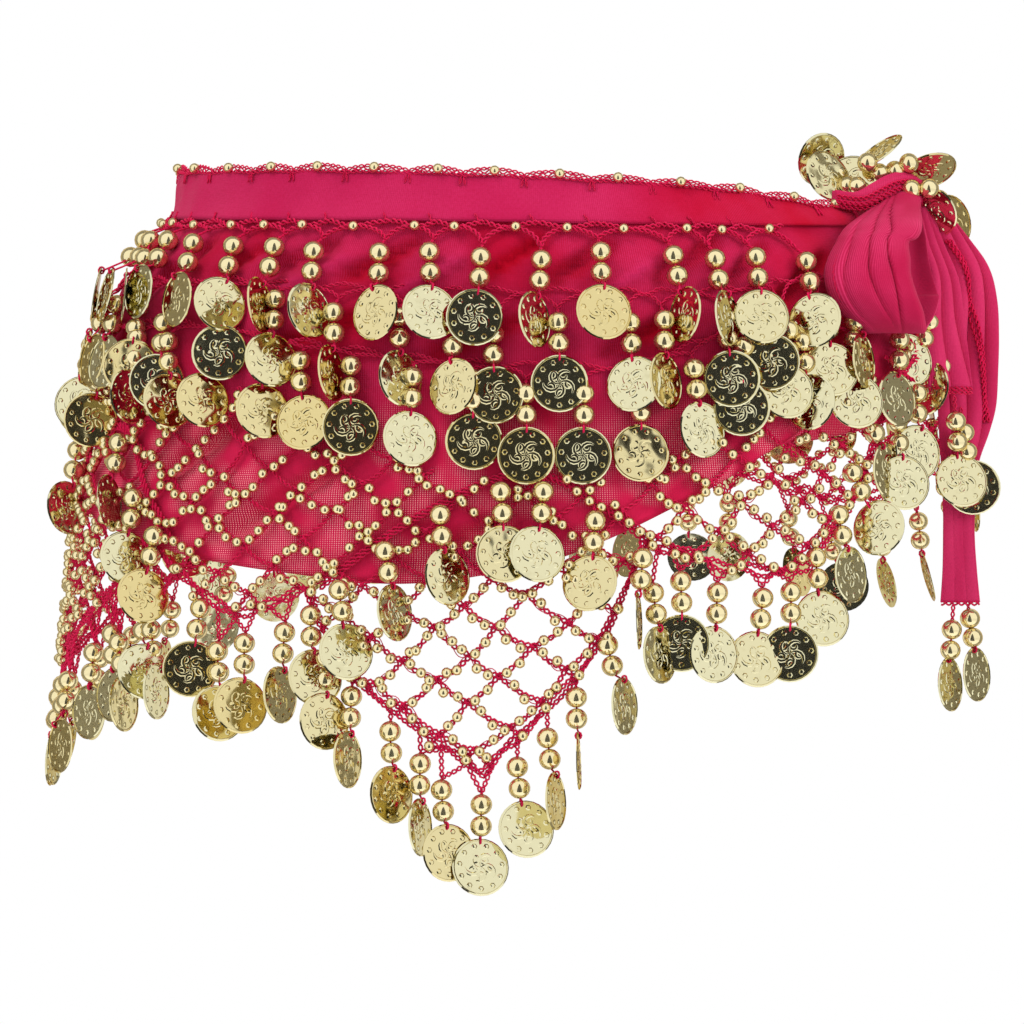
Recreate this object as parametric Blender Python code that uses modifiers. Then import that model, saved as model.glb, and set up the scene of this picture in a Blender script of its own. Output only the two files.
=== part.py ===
"""Belly dance hip scarf: a long cloth with crochet trim, tied round the hips with a side bow.

Metres, +Z up. The wearer faces -Y, and the knot is on the +X side. The origin is the middle of
the ring where the wearer's waist holds the scarf. Tables are in millimetres and degrees.

Places on the scarf are given by a turn, a height and a lift. The turn runs round the scarf from
its middle (0, on the hip across from the knot) to the knot (168 at both ends, with a minus sign
on the back half, which is a little longer). On the front half it is in degrees. The lift is how
far a point stands out from the cloth's outer face.
"""
import math

import bpy
import bmesh
from mathutils import Vector

MM = 0.001

# ---- driving sizes, mm and degrees -----------------------------------------------------------
MIDDLE_AT = -90.0         # the scarf's middle, from the front towards the wearer's left
KNOT_AT = 78.0            # the knot, measured the same way
CLOTH = 1.6               # wall of the cloth
LACE = 1.2                # wall of the crochet net and edgings
DROP_REACH = 33.0         # two beads and a coin on their thread
DROP_DEPTH = 3.0          # depth of a row of drops over the cloth
NET_LIFT = 1.9            # middle of the net's wall, out from the cloth's outer face
ARCH_LIFT = 5.4           # the same for the drops on the arched lines
EDGING = 4.0              # height of the top edging
STEPS = 76                # stations round the scarf
END_TURN = 166.6          # the cloth's ends, either side of the knot
FRINGE_END = 156.0        # the last drops before the knot
SEAM = 0.3

# The general figure the scarf is tied round: height, half width, half depth
FIGURE = (
    (18, 129, 94), (8, 129, 94), (-3, 131, 95), (-13, 139, 99), (-28, 150, 105),
    (-53, 159, 111), (-75, 161, 114), (-95, 163, 116), (-110, 166.5, 118), (-140, 169, 120),
    (-170, 172, 121), (-250, 180, 123),
)

# Lines round the scarf: turn, height. Where a line has no back of its own, the back repeats it
TOP = ((0, 12.5), (30, 9), (60, 6.5), (90, 3.3), (120, 0.3), (137, -3), (153, -4), (168, 2))
ROW_1 = ((0, -6), (45, -11.5), (90, -14.5), (120, -14.5), (129, -13.5))
ROW_2 = ((0, -30), (45, -35), (90, -39), (115, -38), (129, -33))
ROW_3 = ((0, -50), (45, -55), (90, -60), (115, -61), (133, -54), (156, -52))
NET_TOP_BACK = ((0, -72), (45, -74), (90, -74), (130, -68), (152, -54), (168, -40))
NET_TOP = (
    (0, -72), (45, -78), (68, -83), (76, -98), (85, -105), (99, -104), (106, -92),
    (110, -88), (130, -76), (144, -60), (156, -47), (168, -40),
)
HEM_BACK = ((0, -107), (20, -109), (45, -100), (90, -94), (125, -84), (146, -70), (168, -46))
HEM = (
    (0, -107), (43, -130), (62, -137), (75, -140), (87, -136), (94, -131),
    (101, -123), (108, -113.5), (115, -104), (121, -95), (126, -88), (134, -76.5), (146, -66), (158, -55),
    (168, -46),
)
NET_EDGE_BACK = (
    (0, -181), (8, -177), (16, -169), (21, -162), (29, -153), (36, -142), (44, -128), (54, -110),
    (66, -104), (94, -104), (106, -108), (120, -119), (138, -113), (152, -86), (160, -68), (168, -52),
)
NET_EDGE = (
    (0, -181), (8, -177), (16, -169), (21, -162), (29, -151), (36, -133), (45, -148), (53, -160),
    (59, -156), (63, -150), (68, -177), (74, -191), (85, -214), (92, -193), (96, -180),
    (100, -162), (104, -135), (109, -138), (114, -143), (121, -145), (126, -143), (130, -130),
    (135, -116), (139, -101), (144, -80), (152, -66), (168, -52),
)
FRONT_ARCH = ((67, -138), (73, -126), (80, -113), (87, -105), (93, -106), (99, -115), (105, -127))
SIDE_ARCH = ((0, -94), (12, -95), (20, -98), (28, -106), (35, -114), (40, -122))

# How each row of drops hangs over the next: depth below its heading, lift
FIRST_ROW_FALL = ((0, 4.6), (10, 5.0), (19, 8.8), (33, 11.2), (43, 13.4))
MIDDLE_ROW_FALL = ((0, 4.6), (10, 5.0), (19, 8.0), (43, 8.6))
LAST_ROW_FALL = ((0, 4.6), (20, 4.8), (41, 4.8))

# The bow's loop, from the knot down its front face: height, nearer turn, farther turn, lift
LOOP_FRONT = (
    (0, 153, 161, 15), (-6, 144, 160, 19), (-14, 136, 157, 22), (-24, 132.5, 155, 22),
    (-33, 132, 154, 21), (-40, 134, 153, 19), (-46, 138, 150, 14),
)
# and back up behind: the same columns
LOOP_BACK = (
    (-48.5, 141, 148, 9), (-45, 138, 149, 4.8), (-36, 135, 152, 2.9), (-24, 135, 154, 2.6),
    (-15, 140, 155, 2.6), (-9, 146, 156, 2.8),
)
LOOP_PLEAT = 1.4

# The free ends of the cloth, hanging from the knot: x, y, z, width, way its width faces, fold
TAIL_OUTER = (
    (157, -17, 1, 10, 40, 3), (163, -20, -8, 18, 35, 4), (167, -23, -25, 23, 32, 5),
    (168, -26, -45, 25, 30, 5), (167, -29, -65, 24, 28, 4), (164, -33, -85, 20, 24, 3),
    (160.5, -37, -100, 15, 18, 2), (159, -40, -115, 13, 12, 1), (159, -40, -148, 13, 8, 1),
)
TAIL_INNER = (
    (150, -33, -12, 7, 40, 2), (154, -38, -25, 11, 36, 3), (156, -41, -45, 13, 32, 3),
    (158, -44, -69, 13, 26, 2),
)
TAIL_END_DROP = 37.0      # the threads, beads and coins at the end of the outer tail

KNOT_CENTRE = (138.5, -17, 3)
KNOT_RADII = (8.5, 11, 10)
BAND_PATH = ((131, 21, 1), (135, 12, 10), (138, 0, 16), (140, -14, 18), (141, -27, 16.5), (142, -39, 7))
BAND_RADIUS = 4.3
INNER_DROPS = ((107, -36, 14), (115, -26, 15), (123, -14, 14))
OUTER_DROPS = ((155, -2, 13), (160, 2, 3), (163, 6, -8))
DROPS_RADIUS = 8.5


# ---- the surface the pieces lie on -----------------------------------------------------------
def smooth(table, x, column=1):
    """Read a column of a table at x, with a smooth curve through its rows."""
    rows = table if table[0][0] < table[-1][0] else table[::-1]
    x = min(max(x, rows[0][0]), rows[-1][0])
    i = max(k for k in range(len(rows) - 1) if rows[k][0] <= x)
    before, here, there, after = (rows[max(i - 1, 0)], rows[i], rows[i + 1],
                                  rows[min(i + 2, len(rows) - 1)])
    width = there[0] - here[0]
    t = (x - here[0]) / width
    slope_a = (there[column] - before[column]) / (there[0] - before[0]) * width
    slope_b = (after[column] - here[column]) / (after[0] - here[0]) * width
    return ((2 * t**3 - 3 * t**2 + 1) * here[column] + (t**3 - 2 * t**2 + t) * slope_a
            + (3 * t**2 - 2 * t**3) * there[column] + (t**3 - t**2) * slope_b)


def straight(table, x, column=1):
    """Read a column of a table at x, with straight runs between its rows."""
    x = min(max(x, table[0][0]), table[-1][0])
    i = max(k for k in range(len(table) - 1) if table[k][0] <= x)
    here, there = table[i], table[i + 1]
    t = (x - here[0]) / (there[0] - here[0])
    return here[column] * (1 - t) + there[column] * t


def on_scarf(turn, height, lift=0.0):
    """A point at a turn and height on the scarf, standing out from its outer face by lift."""
    front = KNOT_AT - MIDDLE_AT
    stretch = 1.0 if turn >= 0.0 else (360.0 - front) / front
    angle = math.radians(MIDDLE_AT + turn * stretch)
    half_width = smooth(FIGURE, height, 1)
    half_depth = smooth(FIGURE, height, 2)
    outward = Vector((math.sin(angle) / half_width, -math.cos(angle) / half_depth, 0.0)).normalized()
    point = Vector((half_width * math.sin(angle), -half_depth * math.cos(angle), height))
    return (point + outward * lift) * MM


def crease(turn, share):
    """How far the cloth dips inwards: folds that gather at the knot, and shallow diagonal ones."""
    gather = max(0.0, (abs(turn) - 123.0) / 45.0) ** 1.5
    folds = 1.8 * gather * (1.0 - math.cos(2.0 * math.pi * 2.0 * share))
    diagonal = 0.5 * (1.0 - math.cos(math.radians(5.0 * abs(turn)) + 4.0 * share))
    return folds + diagonal * math.sin(math.pi * share) ** 2


def line(front, back, read):
    """The height of a line at a turn, from the front's table or the back's."""
    return lambda turn: read(front if turn >= 0.0 else back, abs(turn))


def turns(start, end, steps):
    return [start + (end - start) * k / steps for k in range(steps + 1)]


# ---- making pieces ---------------------------------------------------------------------------
def material(name, colour, roughness, metallic):
    made = bpy.data.materials.new(name)
    made.use_nodes = True
    shader = made.node_tree.nodes["Principled BSDF"]
    shader.inputs["Base Color"].default_value = (*colour, 1.0)
    shader.inputs["Roughness"].default_value = roughness
    shader.inputs["Metallic"].default_value = metallic
    return made


def add_object(name, data, finish, scarf):
    made = bpy.data.objects.new(name, data)
    made.data.materials.append(finish)
    scarf.objects.link(made)
    return made


def shell(name, grid, thickness, finish, scarf):
    """A wall round a grid of points, given as rows of equal length."""
    mesh = bmesh.new()
    verts = [[mesh.verts.new(point) for point in row] for row in grid]
    for row, following in zip(verts, verts[1:]):
        for k in range(len(row) - 1):
            mesh.faces.new((row[k], row[k + 1], following[k + 1], following[k]))
    data = bpy.data.meshes.new(name)
    mesh.to_mesh(data)
    mesh.free()
    made = add_object(name, data, finish, scarf)
    wall = made.modifiers.new("wall", "SOLIDIFY")
    wall.thickness = thickness * MM
    wall.offset = 0.0
    wall.use_even_offset = True
    return made


def band_of_scarf(name, stations, upper, lower, rows, lift, thickness, finish, scarf, dip=None):
    """A wall that lies round the scarf between two lines."""
    grid = []
    for turn in stations:
        top, bottom = upper(turn), lower(turn)
        column = []
        for k in range(rows + 1):
            share = k / rows
            inward = dip(turn, share) if dip else 0.0
            column.append(on_scarf(turn, top + (bottom - top) * share, lift - inward))
        grid.append(column)
    return shell(name, grid, thickness, finish, scarf)


def row_of_drops(name, heading, fall, end_turn, finish, scarf):
    """The reach of a row of drops, from its heading over the row below."""
    steps = round(STEPS * end_turn / END_TURN)
    grid = []
    for turn in turns(-end_turn, end_turn, steps):
        head = smooth(heading, abs(turn))
        grid.append([on_scarf(turn, head - down, lift) for down, lift in fall])
    return shell(name, grid, DROP_DEPTH, finish, scarf)


def tube(name, path, radius, finish, scarf):
    curve = bpy.data.curves.new(name, "CURVE")
    curve.dimensions = "3D"
    curve.bevel_depth = radius * MM
    curve.bevel_resolution = 2
    curve.use_fill_caps = True
    spline = curve.splines.new("POLY")
    spline.points.add(len(path) - 1)
    for point, place in zip(spline.points, path):
        point.co = (*(Vector(place) * MM), 1.0)
    return add_object(name, curve, finish, scarf)


# ---- the pieces ------------------------------------------------------------------------------
def make_wrap(cloth, thread, coins, scarf):
    """The stretch round the hips, with the trim that lies on it."""
    ring = turns(-END_TURN, END_TURN, STEPS)
    top = line(TOP, TOP, smooth)
    hem = line(HEM, HEM_BACK, smooth)
    net_top = line(NET_TOP, NET_TOP_BACK, straight)
    net_edge = line(NET_EDGE, NET_EDGE_BACK, straight)
    band_of_scarf("hip_cloth", ring, top, hem, 7, -CLOTH / 2, CLOTH, cloth, scarf, crease)
    band_of_scarf("top_edging", ring, lambda t: top(t) + EDGING, lambda t: top(t) + SEAM + 0.1, 1,
                  -CLOTH / 2, LACE, thread, scarf)
    band_of_scarf("bead_net", ring, net_top, net_edge, 5, NET_LIFT, LACE, thread, scarf)
    fringed = [turn for turn in ring if abs(turn) <= FRINGE_END]
    band_of_scarf("net_fringe", fringed, lambda t: net_edge(t) - 2 * SEAM,
                  lambda t: net_edge(t) - DROP_REACH, 1, 0.2, DROP_DEPTH, coins, scarf)
    row_of_drops("coin_row_1", ROW_1, FIRST_ROW_FALL, ROW_1[-1][0], coins, scarf)
    row_of_drops("coin_row_2", ROW_2, MIDDLE_ROW_FALL, ROW_2[-1][0], coins, scarf)
    row_of_drops("coin_row_3", ROW_3, LAST_ROW_FALL, ROW_3[-1][0], coins, scarf)


def make_arches(coins, scarf):
    """The drops on the arched lines above the large points of the net."""
    front = turns(FRONT_ARCH[0][0], FRONT_ARCH[-1][0], 9)
    side = turns(-SIDE_ARCH[-1][0], SIDE_ARCH[-1][0], 22)
    for name, arch, stations in (("arch_fringe_front", FRONT_ARCH, front), ("arch_fringe_side", SIDE_ARCH, side)):
        height = line(arch, arch, smooth)
        band_of_scarf(name, stations, height, lambda t: height(t) - DROP_REACH, 1, ARCH_LIFT,
                      DROP_DEPTH, coins, scarf)


def make_knot(cloth, coins, scarf):
    """The knot, the gathered end over it, its loop, and the coins that stand up round it."""
    ball = bmesh.new()
    bmesh.ops.create_uvsphere(ball, u_segments=20, v_segments=12, radius=1.0)
    facing = math.radians(KNOT_AT - 90.0)
    for vert in ball.verts:
        pleat = 1.0 + 0.05 * math.cos(6.0 * math.atan2(vert.co.z, vert.co.y)) * (1.0 - vert.co.x**2)
        place = Vector(vert.co[k] * KNOT_RADII[k] * pleat for k in range(3))
        turned = Vector((place.x * math.cos(facing) - place.y * math.sin(facing),
                         place.x * math.sin(facing) + place.y * math.cos(facing), place.z))
        vert.co = (turned + Vector(KNOT_CENTRE)) * MM
    data = bpy.data.meshes.new("knot")
    ball.to_mesh(data)
    ball.free()
    add_object("knot", data, cloth, scarf)
    tube("knot_band", BAND_PATH, BAND_RADIUS, cloth, scarf)
    tube("knot_fringe_inner", INNER_DROPS, DROPS_RADIUS, coins, scarf)
    tube("knot_fringe_outer", OUTER_DROPS, DROPS_RADIUS, coins, scarf)


def make_loop(cloth, scarf):
    across = 10
    grid = []
    for height, near, far, lift in LOOP_FRONT + LOOP_BACK:
        row = []
        for k in range(across + 1):
            share = k / across
            crown = math.sin(math.pi * share)
            fold = LOOP_PLEAT * math.cos(6.0 * math.pi * share) * min(1.0, lift / 12.0)
            row.append(on_scarf(near + (far - near) * share, height, lift * (0.82 + 0.18 * crown) + fold))
        grid.append(row)
    shell("bow_loop", grid, CLOTH, cloth, scarf)


def ribbon_rows(stations, across, lift=0.0, start=0.0, end=1.0):
    """Points across a hanging ribbon that is folded down its length."""
    grid = []
    for x, y, z, width, facing, fold in stations:
        way = Vector((math.cos(math.radians(facing)), math.sin(math.radians(facing)), 0.0))
        out = Vector((way.y, -way.x, 0.0))
        row = []
        for k in range(across + 1):
            share = start + (end - start) * k / across
            depth = fold * 0.5 * math.cos(3.0 * math.pi * share) + lift
            row.append((Vector((x, y, z)) + way * width * (share - 0.5) + out * depth) * MM)
        grid.append(row)
    return grid


def make_tails(cloth, thread, coins, scarf):
    shell("tail_outer", ribbon_rows(TAIL_OUTER, 9), CLOTH, cloth, scarf)
    shell("tail_inner", ribbon_rows(TAIL_INNER, 6), CLOTH, cloth, scarf)
    edging_lift = CLOTH / 2 + SEAM + LACE / 2
    shell("tail_edging", ribbon_rows(TAIL_OUTER[1:-2], 2, edging_lift, 0.56, 0.72), LACE, thread, scarf)
    x, y, z, width, facing, fold = TAIL_OUTER[-1]
    hanging = [(x, y, z - SEAM * 2 - down, width + 4, facing, fold) for down in (0, TAIL_END_DROP)]
    shell("tail_fringe", ribbon_rows(hanging, 2), DROP_DEPTH, coins, scarf)


def main():
    for left_over in list(bpy.data.objects):
        bpy.data.objects.remove(left_over)
    scarf = bpy.data.collections.new("hip_scarf")
    bpy.context.scene.collection.children.link(scarf)
    cloth = material("fuchsia_cloth", (0.62, 0.02, 0.15), 0.75, 0.0)
    thread = material("fuchsia_thread", (0.60, 0.01, 0.10), 0.7, 0.0)
    coins = material("gold_plate", (0.80, 0.68, 0.38), 0.2, 1.0)
    make_wrap(cloth, thread, coins, scarf)
    make_arches(coins, scarf)
    make_knot(cloth, coins, scarf)
    make_loop(cloth, scarf)
    make_tails(cloth, thread, coins, scarf)


main()
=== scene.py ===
"""Belly dance hip scarf: knit cloth, crochet trim, beads and coins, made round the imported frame.

Tables and helpers are in millimetres and degrees, and meshes are scaled to metres as they are
made. A place on the scarf is a turn, a height and a lift: the turn runs round the scarf from its
middle (0, on the hip across from the knot) to the knot (168 at both ends, with a minus sign on
the back half), and the lift is how far a point stands out from the cloth's outer face. A turn is
a degree on the front half; on the back half the same 168 turns share the rest of the way round.
"""
import math

import bpy
import numpy as np
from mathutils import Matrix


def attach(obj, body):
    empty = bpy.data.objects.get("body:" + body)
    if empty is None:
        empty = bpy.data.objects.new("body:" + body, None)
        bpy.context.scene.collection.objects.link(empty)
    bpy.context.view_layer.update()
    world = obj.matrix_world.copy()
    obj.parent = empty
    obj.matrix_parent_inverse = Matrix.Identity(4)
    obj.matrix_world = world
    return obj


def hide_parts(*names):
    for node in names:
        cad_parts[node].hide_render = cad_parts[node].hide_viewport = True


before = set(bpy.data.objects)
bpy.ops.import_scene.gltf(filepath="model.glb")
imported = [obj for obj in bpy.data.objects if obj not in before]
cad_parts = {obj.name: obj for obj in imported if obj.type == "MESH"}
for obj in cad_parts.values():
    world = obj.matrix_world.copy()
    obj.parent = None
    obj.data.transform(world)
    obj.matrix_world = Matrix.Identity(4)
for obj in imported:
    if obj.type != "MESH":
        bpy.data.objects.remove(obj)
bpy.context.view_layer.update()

MM = 0.001
rng = np.random.default_rng(7)

# ---- the form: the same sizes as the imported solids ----
MIDDLE_AT, KNOT_AT = -90.0, 78.0             # degrees from the front towards the right
END_TURN = 166.6          # where the cloth ends, inside the knot
# The figure's outline, an ellipse at each height: height, half width, half depth
FIGURE = (
    (18, 129, 94), (8, 129, 94), (-3, 131, 95), (-13, 139, 99), (-28, 150, 105),
    (-53, 159, 111), (-75, 161, 114), (-95, 163, 116), (-110, 166.5, 118), (-140, 169, 120),
    (-170, 172, 121), (-250, 180, 123),
)
# The heights of the cloth's edges and of the trim's lines: turn, height
TOP = ((0, 12.5), (30, 9), (60, 6.5), (90, 3.3), (120, 0.3), (137, -3), (153, -4), (168, 2))
ROW_1 = ((0, -6), (45, -11.5), (90, -14.5), (120, -14.5), (140, -13), (168, -10))
ROW_2 = ((0, -29), (45, -32), (60, -35), (90, -38), (115, -37), (129, -32), (150, -26))
ROW_3 = (
    (0, -46), (45, -48), (60, -55), (76, -61), (90, -64), (104, -63), (118, -50), (138, -48),
    (156, -46),
)
HEM_BACK = ((0, -107), (20, -109), (45, -100), (90, -94), (125, -84), (146, -70), (168, -46))
HEM = (
    (0, -107), (43, -130), (62, -137), (75, -140), (87, -136), (94, -131), (101, -123),
    (108, -113.5), (115, -104), (121, -95), (126, -88), (134, -76.5), (146, -66), (158, -55),
    (168, -46),
)
NET_TOP_BACK = ((0, -66), (45, -69), (90, -72), (130, -67), (152, -54), (168, -40))
NET_TOP = (
    (0, -66), (45, -68), (62, -76), (69, -84), (76, -98), (85, -105), (99, -104), (106, -90),
    (112, -82), (130, -70), (144, -58), (156, -47), (168, -40),
)
NET_EDGE_BACK = (
    (0, -181), (8, -177), (16, -169), (21, -162), (29, -153), (36, -142), (44, -128), (54, -110),
    (66, -104), (94, -104), (106, -108), (120, -119), (138, -113), (152, -86), (160, -68), (168, -52),
)
NET_EDGE = (
    (0, -181), (8, -177), (16, -169), (21, -162), (29, -151), (36, -133), (45, -148), (53, -160),
    (59, -156), (63, -150), (68, -177), (74, -191), (85, -214), (92, -193), (96, -180),
    (100, -162), (104, -135), (109, -138), (114, -143), (121, -145), (126, -143), (130, -130),
    (135, -116), (139, -101), (144, -80), (152, -66), (168, -52),
)
FRONT_ARCH = ((65, -141), (73, -124), (80, -112), (87, -103), (93, -103), (99, -113), (106, -129))
SIDE_ARCH = ((0, -84), (12, -84), (20, -84), (28, -86), (35, -106), (41, -121))

# ---- cloth ----
CLOTH = 0.9               # wall of the knit
CLOTH_GRID = 460, 11, 46  # places round it, and down its band and the cloth below
BAND_STEP = 1.5           # how far the stitched top band stands out over the cloth under it
ROLLED_HEM = 3.0          # depth of the narrow hem at the lower edge
CREASE_DEPTH = 3.3        # all the creases' depths are times this
# Creases: start turn and height, end turn and height, half width, depth (minus is a ridge)
CREASES = (
    (38, -17, 24, -34, 3.0, 1.6), (52, -18, 41, -31, 2.6, 1.3), (63, -19, 50, -32, 3.4, 1.9),
    (66, -24, 55, -37, 2.2, -1.1), (76, -19, 64, -34, 3.0, 1.7), (82, -24, 72, -40, 2.4, -1.2),
    (93, -18, 84, -33, 2.6, 1.3), (103, -20, 91, -37, 3.4, 1.9), (108, -26, 98, -42, 2.4, -1.1),
    (119, -18, 107, -35, 3.0, 1.8), (127, -19, 117, -36, 2.6, 1.6), (139, -22, 122, -45, 3.2, 2.2),
    (72, -44, 52, -58, 3.2, 1.5), (92, -46, 76, -62, 3.2, 1.4), (112, -44, 98, -62, 3.0, 1.4),
    (58, -72, 36, -104, 4.0, 1.5), (70, -92, 50, -124, 4.2, 1.4), (92, -112, 76, -132, 3.6, 1.1),
    (142, -38, 112, -92, 4.0, 1.8), (150, -34, 124, -82, 3.4, 2.0), (24, -40, 14, -78, 3.4, 1.4),
)
BACK_CREASES = (
    (-30, -18, -14, -38, 3.0, 1.5), (-52, -20, -38, -44, 3.4, 1.8), (-76, -18, -66, -36, 2.8, 1.4),
    (-94, -22, -80, -52, 3.2, 1.8), (-118, -20, -104, -40, 3.0, 1.6), (-140, -24, -120, -60, 3.4, 2.2),
    (-70, -62, -44, -92, 3.8, 1.4), (-112, -54, -88, -88, 3.8, 1.5), (-150, -30, -128, -74, 3.2, 2.0),
)

# ---- crochet ----
STITCH = 2.3              # length of one chain stitch
# Chains: how far their two strands swing out, and a strand's radius
TRIM_CHAIN, TOP_CHAIN, FOOT_CHAIN, TOP_FOOT_CHAIN = (0.58, 0.33), (0.5, 0.33), (0.34, 0.28), (0.3, 0.24)
STRONG_CHAIN, HEADING_CHAIN, ARCH_CHAIN = (0.72, 0.48), (0.55, 0.38), (0.72, 0.46)
NET_CHAIN, HANGING_CHAIN, EDGE_CHAIN, PICOT_CHAIN = (0.60, 0.44), (0.80, 0.46), (0.72, 0.47), (0.72, 0.42)
TIE_CHAIN, LOOP_CHAIN, TAIL_CHAIN, KNOT_CHAIN = (0.6, 0.40), (0.5, 0.36), (0.75, 0.44), (0.7, 0.40)
NET_ACROSS = ((11.8, -7.8), (10.4, 9.6))     # the sides of one diamond of the net
SIDE_SAG = 1.3            # how far a side of a diamond sags
NET_LIFT = 1.1            # the net's chains over the cloth
EDGE_RISE = 9.0           # height of the thick edge chain over the drops' tops
TIE_GAP = 28.0            # from one tie of the top edging to the next
EDGING_RISE = 1.8         # height of the top edging's arcs

# ---- drops ----
LARGE_BEAD, SMALL_BEAD = 3.8, 1.9            # radii
BEAD_GAP = 7.4            # from the first bead's centre to the second's
COIN_GAP = 21.5           # from the first bead's centre to the coin's
COIN = 10.0               # radius
HOLE = 8.4                # the hole, from the coin's centre
TURN_IN = 0.06            # how much coins off the middle turn in towards it, degrees a millimetre
ROW_LIFT = 3.9            # the rows' beads over the cloth
ROW_COIN_LIFTS = 8.8, 6.4, 5.2               # and their coins, from the top row down
# Each drop: first bead's turn and height, swing sideways, way its coin faces, its tilt upwards
FIRST_ROW = (
    (2, -13, 0, -96, 10), (10, -14, 0, -80, 14), (17, -15, -9, -92, 6),
    (26, -16, -26, -64, 8), (35, -18, -13, -62, 8), (45, -20, -10, 22, 14), (53, -21, -11, 63, 8),
    (60, -23, -2, 40, 12), (70, -24, -2, -41, 10), (77, -24, 1, 16, 16), (84, -26, -5, 2, 6),
    (92, -27, -7, 58, 8), (100, -24, 2, 17, 14), (110, -25, 9, -57, 8), (116, -26, 9, 67, 8),
    (122.5, -25, 4, 15, 16), (131, -26, 6, -20, 12),
)
SECOND_ROW = (
    (2, -36, 2, -84, 10), (10, -38, -8, -68, 10), (19, -39, -10, -60, 10),
    (28, -41, -6, -8, 4), (36, -47, -4, 3, 4), (47, -37, -3, -3, 5), (56, -40, -2, 20, 15),
    (65, -45, 0, 62, 8), (74, -47, 1, 41, 10), (81, -50, 0, -37, 10), (86, -53, 2, -2, 3),
    (94, -49, 1, 3, 4), (103, -49, 2, -18, 14), (107.5, -48, 0, 58, 8), (116, -47, 4, 4, 4),
    (122, -41, 5, -4, 3), (125, -51, -3, 19, 13), (132, -43, 4, 21, 14), (137, -40, 12, 70, 6),
)
THIRD_ROW = (
    (-2, -54, 8, -34, 6), (6, -53, -8, -28, 14), (17, -60, -5, 5, 3), (30, -52, -4, 40, 8),
    (38, -54, 3, 22, 13), (46, -54, -4, 19, 14), (55, -58, 2, 17, 14), (61, -62, 3, -20, 13),
    (68, -64, 0, 2, 3), (76, -68, -1, 18, 13), (83.5, -69, 1, -4, 3), (90, -74, 0, 3, 2),
    (97, -74, 0, -2, 3), (104, -73, 0, 9, 5), (111, -65, 8, 40, 8), (118, -57, -3, 4, 3),
    (127, -55, 6, -30, 8), (136, -54, 2, 20, 12), (146, -53, -4, 52, 8),
)
ARCH_DROPS = (
    (68, -142, 6, 20, 12), (73.5, -128.5, 9, 52, 8), (80, -116, 7, 39, 8), (87, -108, 3, 10, 8),
    (92, -108, -5, 18, 14), (98, -118, -6, -20, 14), (103.5, -131, -4, 86, 2),
)
SIDE_DROPS = (
    (28.4, -90, -8, 62, 6), (34.7, -110, -5, 20, 15), (39.8, -123.5, -9, 22, 14),
    (-29, -92, 6, -50, 8), (-35, -110, 4, 20, 12), (-40, -121, 8, -30, 10), (6, -92, -6, 40, 8),
)
EDGE_DROPS = (
    (1, -185, 4, -84, 4), (6, -184, 2, -76, 6), (11, -179, 3, -68, 4), (15, -177, -4, -86, 3),
    (25, -166, -4, -56, 4), (30, -159, 4, -52, 8), (32, -162, 8, 56, 4), (37, -150, 2, 24, 12),
    (39, -157, 8, 60, 4), (47.8, -149, -8, 3, 3), (51, -164, 3, 22, 13), (55, -161, -2, 19, 12),
    (60.6, -157, -2, 53, 6), (64, -151, 4, 20, 12), (66, -166, 2, 30, 8),
    (69.6, -179, -3, 60, 4), (74.4, -191, 2, 42, 6), (78, -202, 1, 66, 4), (80.5, -211, 6, 27, 8),
    (85, -216, -1, 12, 14), (89, -203, 8, 17, 13), (92.4, -193, 7, 70, 4), (95.7, -179, 2, 87, 2),
    (99.4, -161, 14, 64, 4), (105, -143, 6, 56, 6), (108.4, -139, 0, 2, 2), (113, -143, -4, 34, 6),
    (119, -145, -7, 20, 12), (123, -143, -2, -3, 3), (127, -131, 5, 21, 12), (131, -116, 11, 58, 5),
    (134.4, -101, 25, -24, 10), (138.6, -80, 20, 60, 5), (145, -83, 4, 24, 10), (151, -72, -3, 40, 8),
)
# The back half's drops, in the rows and at the net's edge: gap, fall from their line, last and
# first turn
ROW_BACK, EDGE_BACK = (24.0, 9.0, -150.0, -12.0), (21.0, 3.6, -152.0, -3.0)
SEEN_FROM_INSIDE = -90.0  # the back half's coins below this show their backs under the front hem

# ---- the coin: a raised rim, a ring of dots and a whirl of leaves ----
# Radius and height of the plain coin, from the middle of its face to the middle of its back
COIN_PROFILE = (
    (0, 0.16), (5, 0.17), (9.15, 0.14), (9.3, 0.45), (9.55, 0.42), (10, 0.06), (10, -0.14),
    (9.3, -0.15), (0, -0.16),
)
DOTS, DOT_RING = 11, 7.5  # their number, and how far out they stand
DOT, DOT_TOP = ((1.12, 0.10), (0.68, 0.48)), 0.58    # radius and height of a dot's steps, and its top
STROKE = 0.85             # half the width of a raised stroke
STROKE_FOOT, STROKE_TOP = 0.10, 0.42
# Each leaf: turn round the coin, and a size for it
LEAVES = ((20, 1.0), (88, 0.9), (152, 1.08), (224, 0.95), (297, 1.04))
# The strokes of one leaf: centre out and aside, radius, start and sweep of each raised arc
LEAF = ((2.5, 0.9, 2.7, 196, -165), (3.0, -1.3, 1.25, 80, 215))

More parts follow.
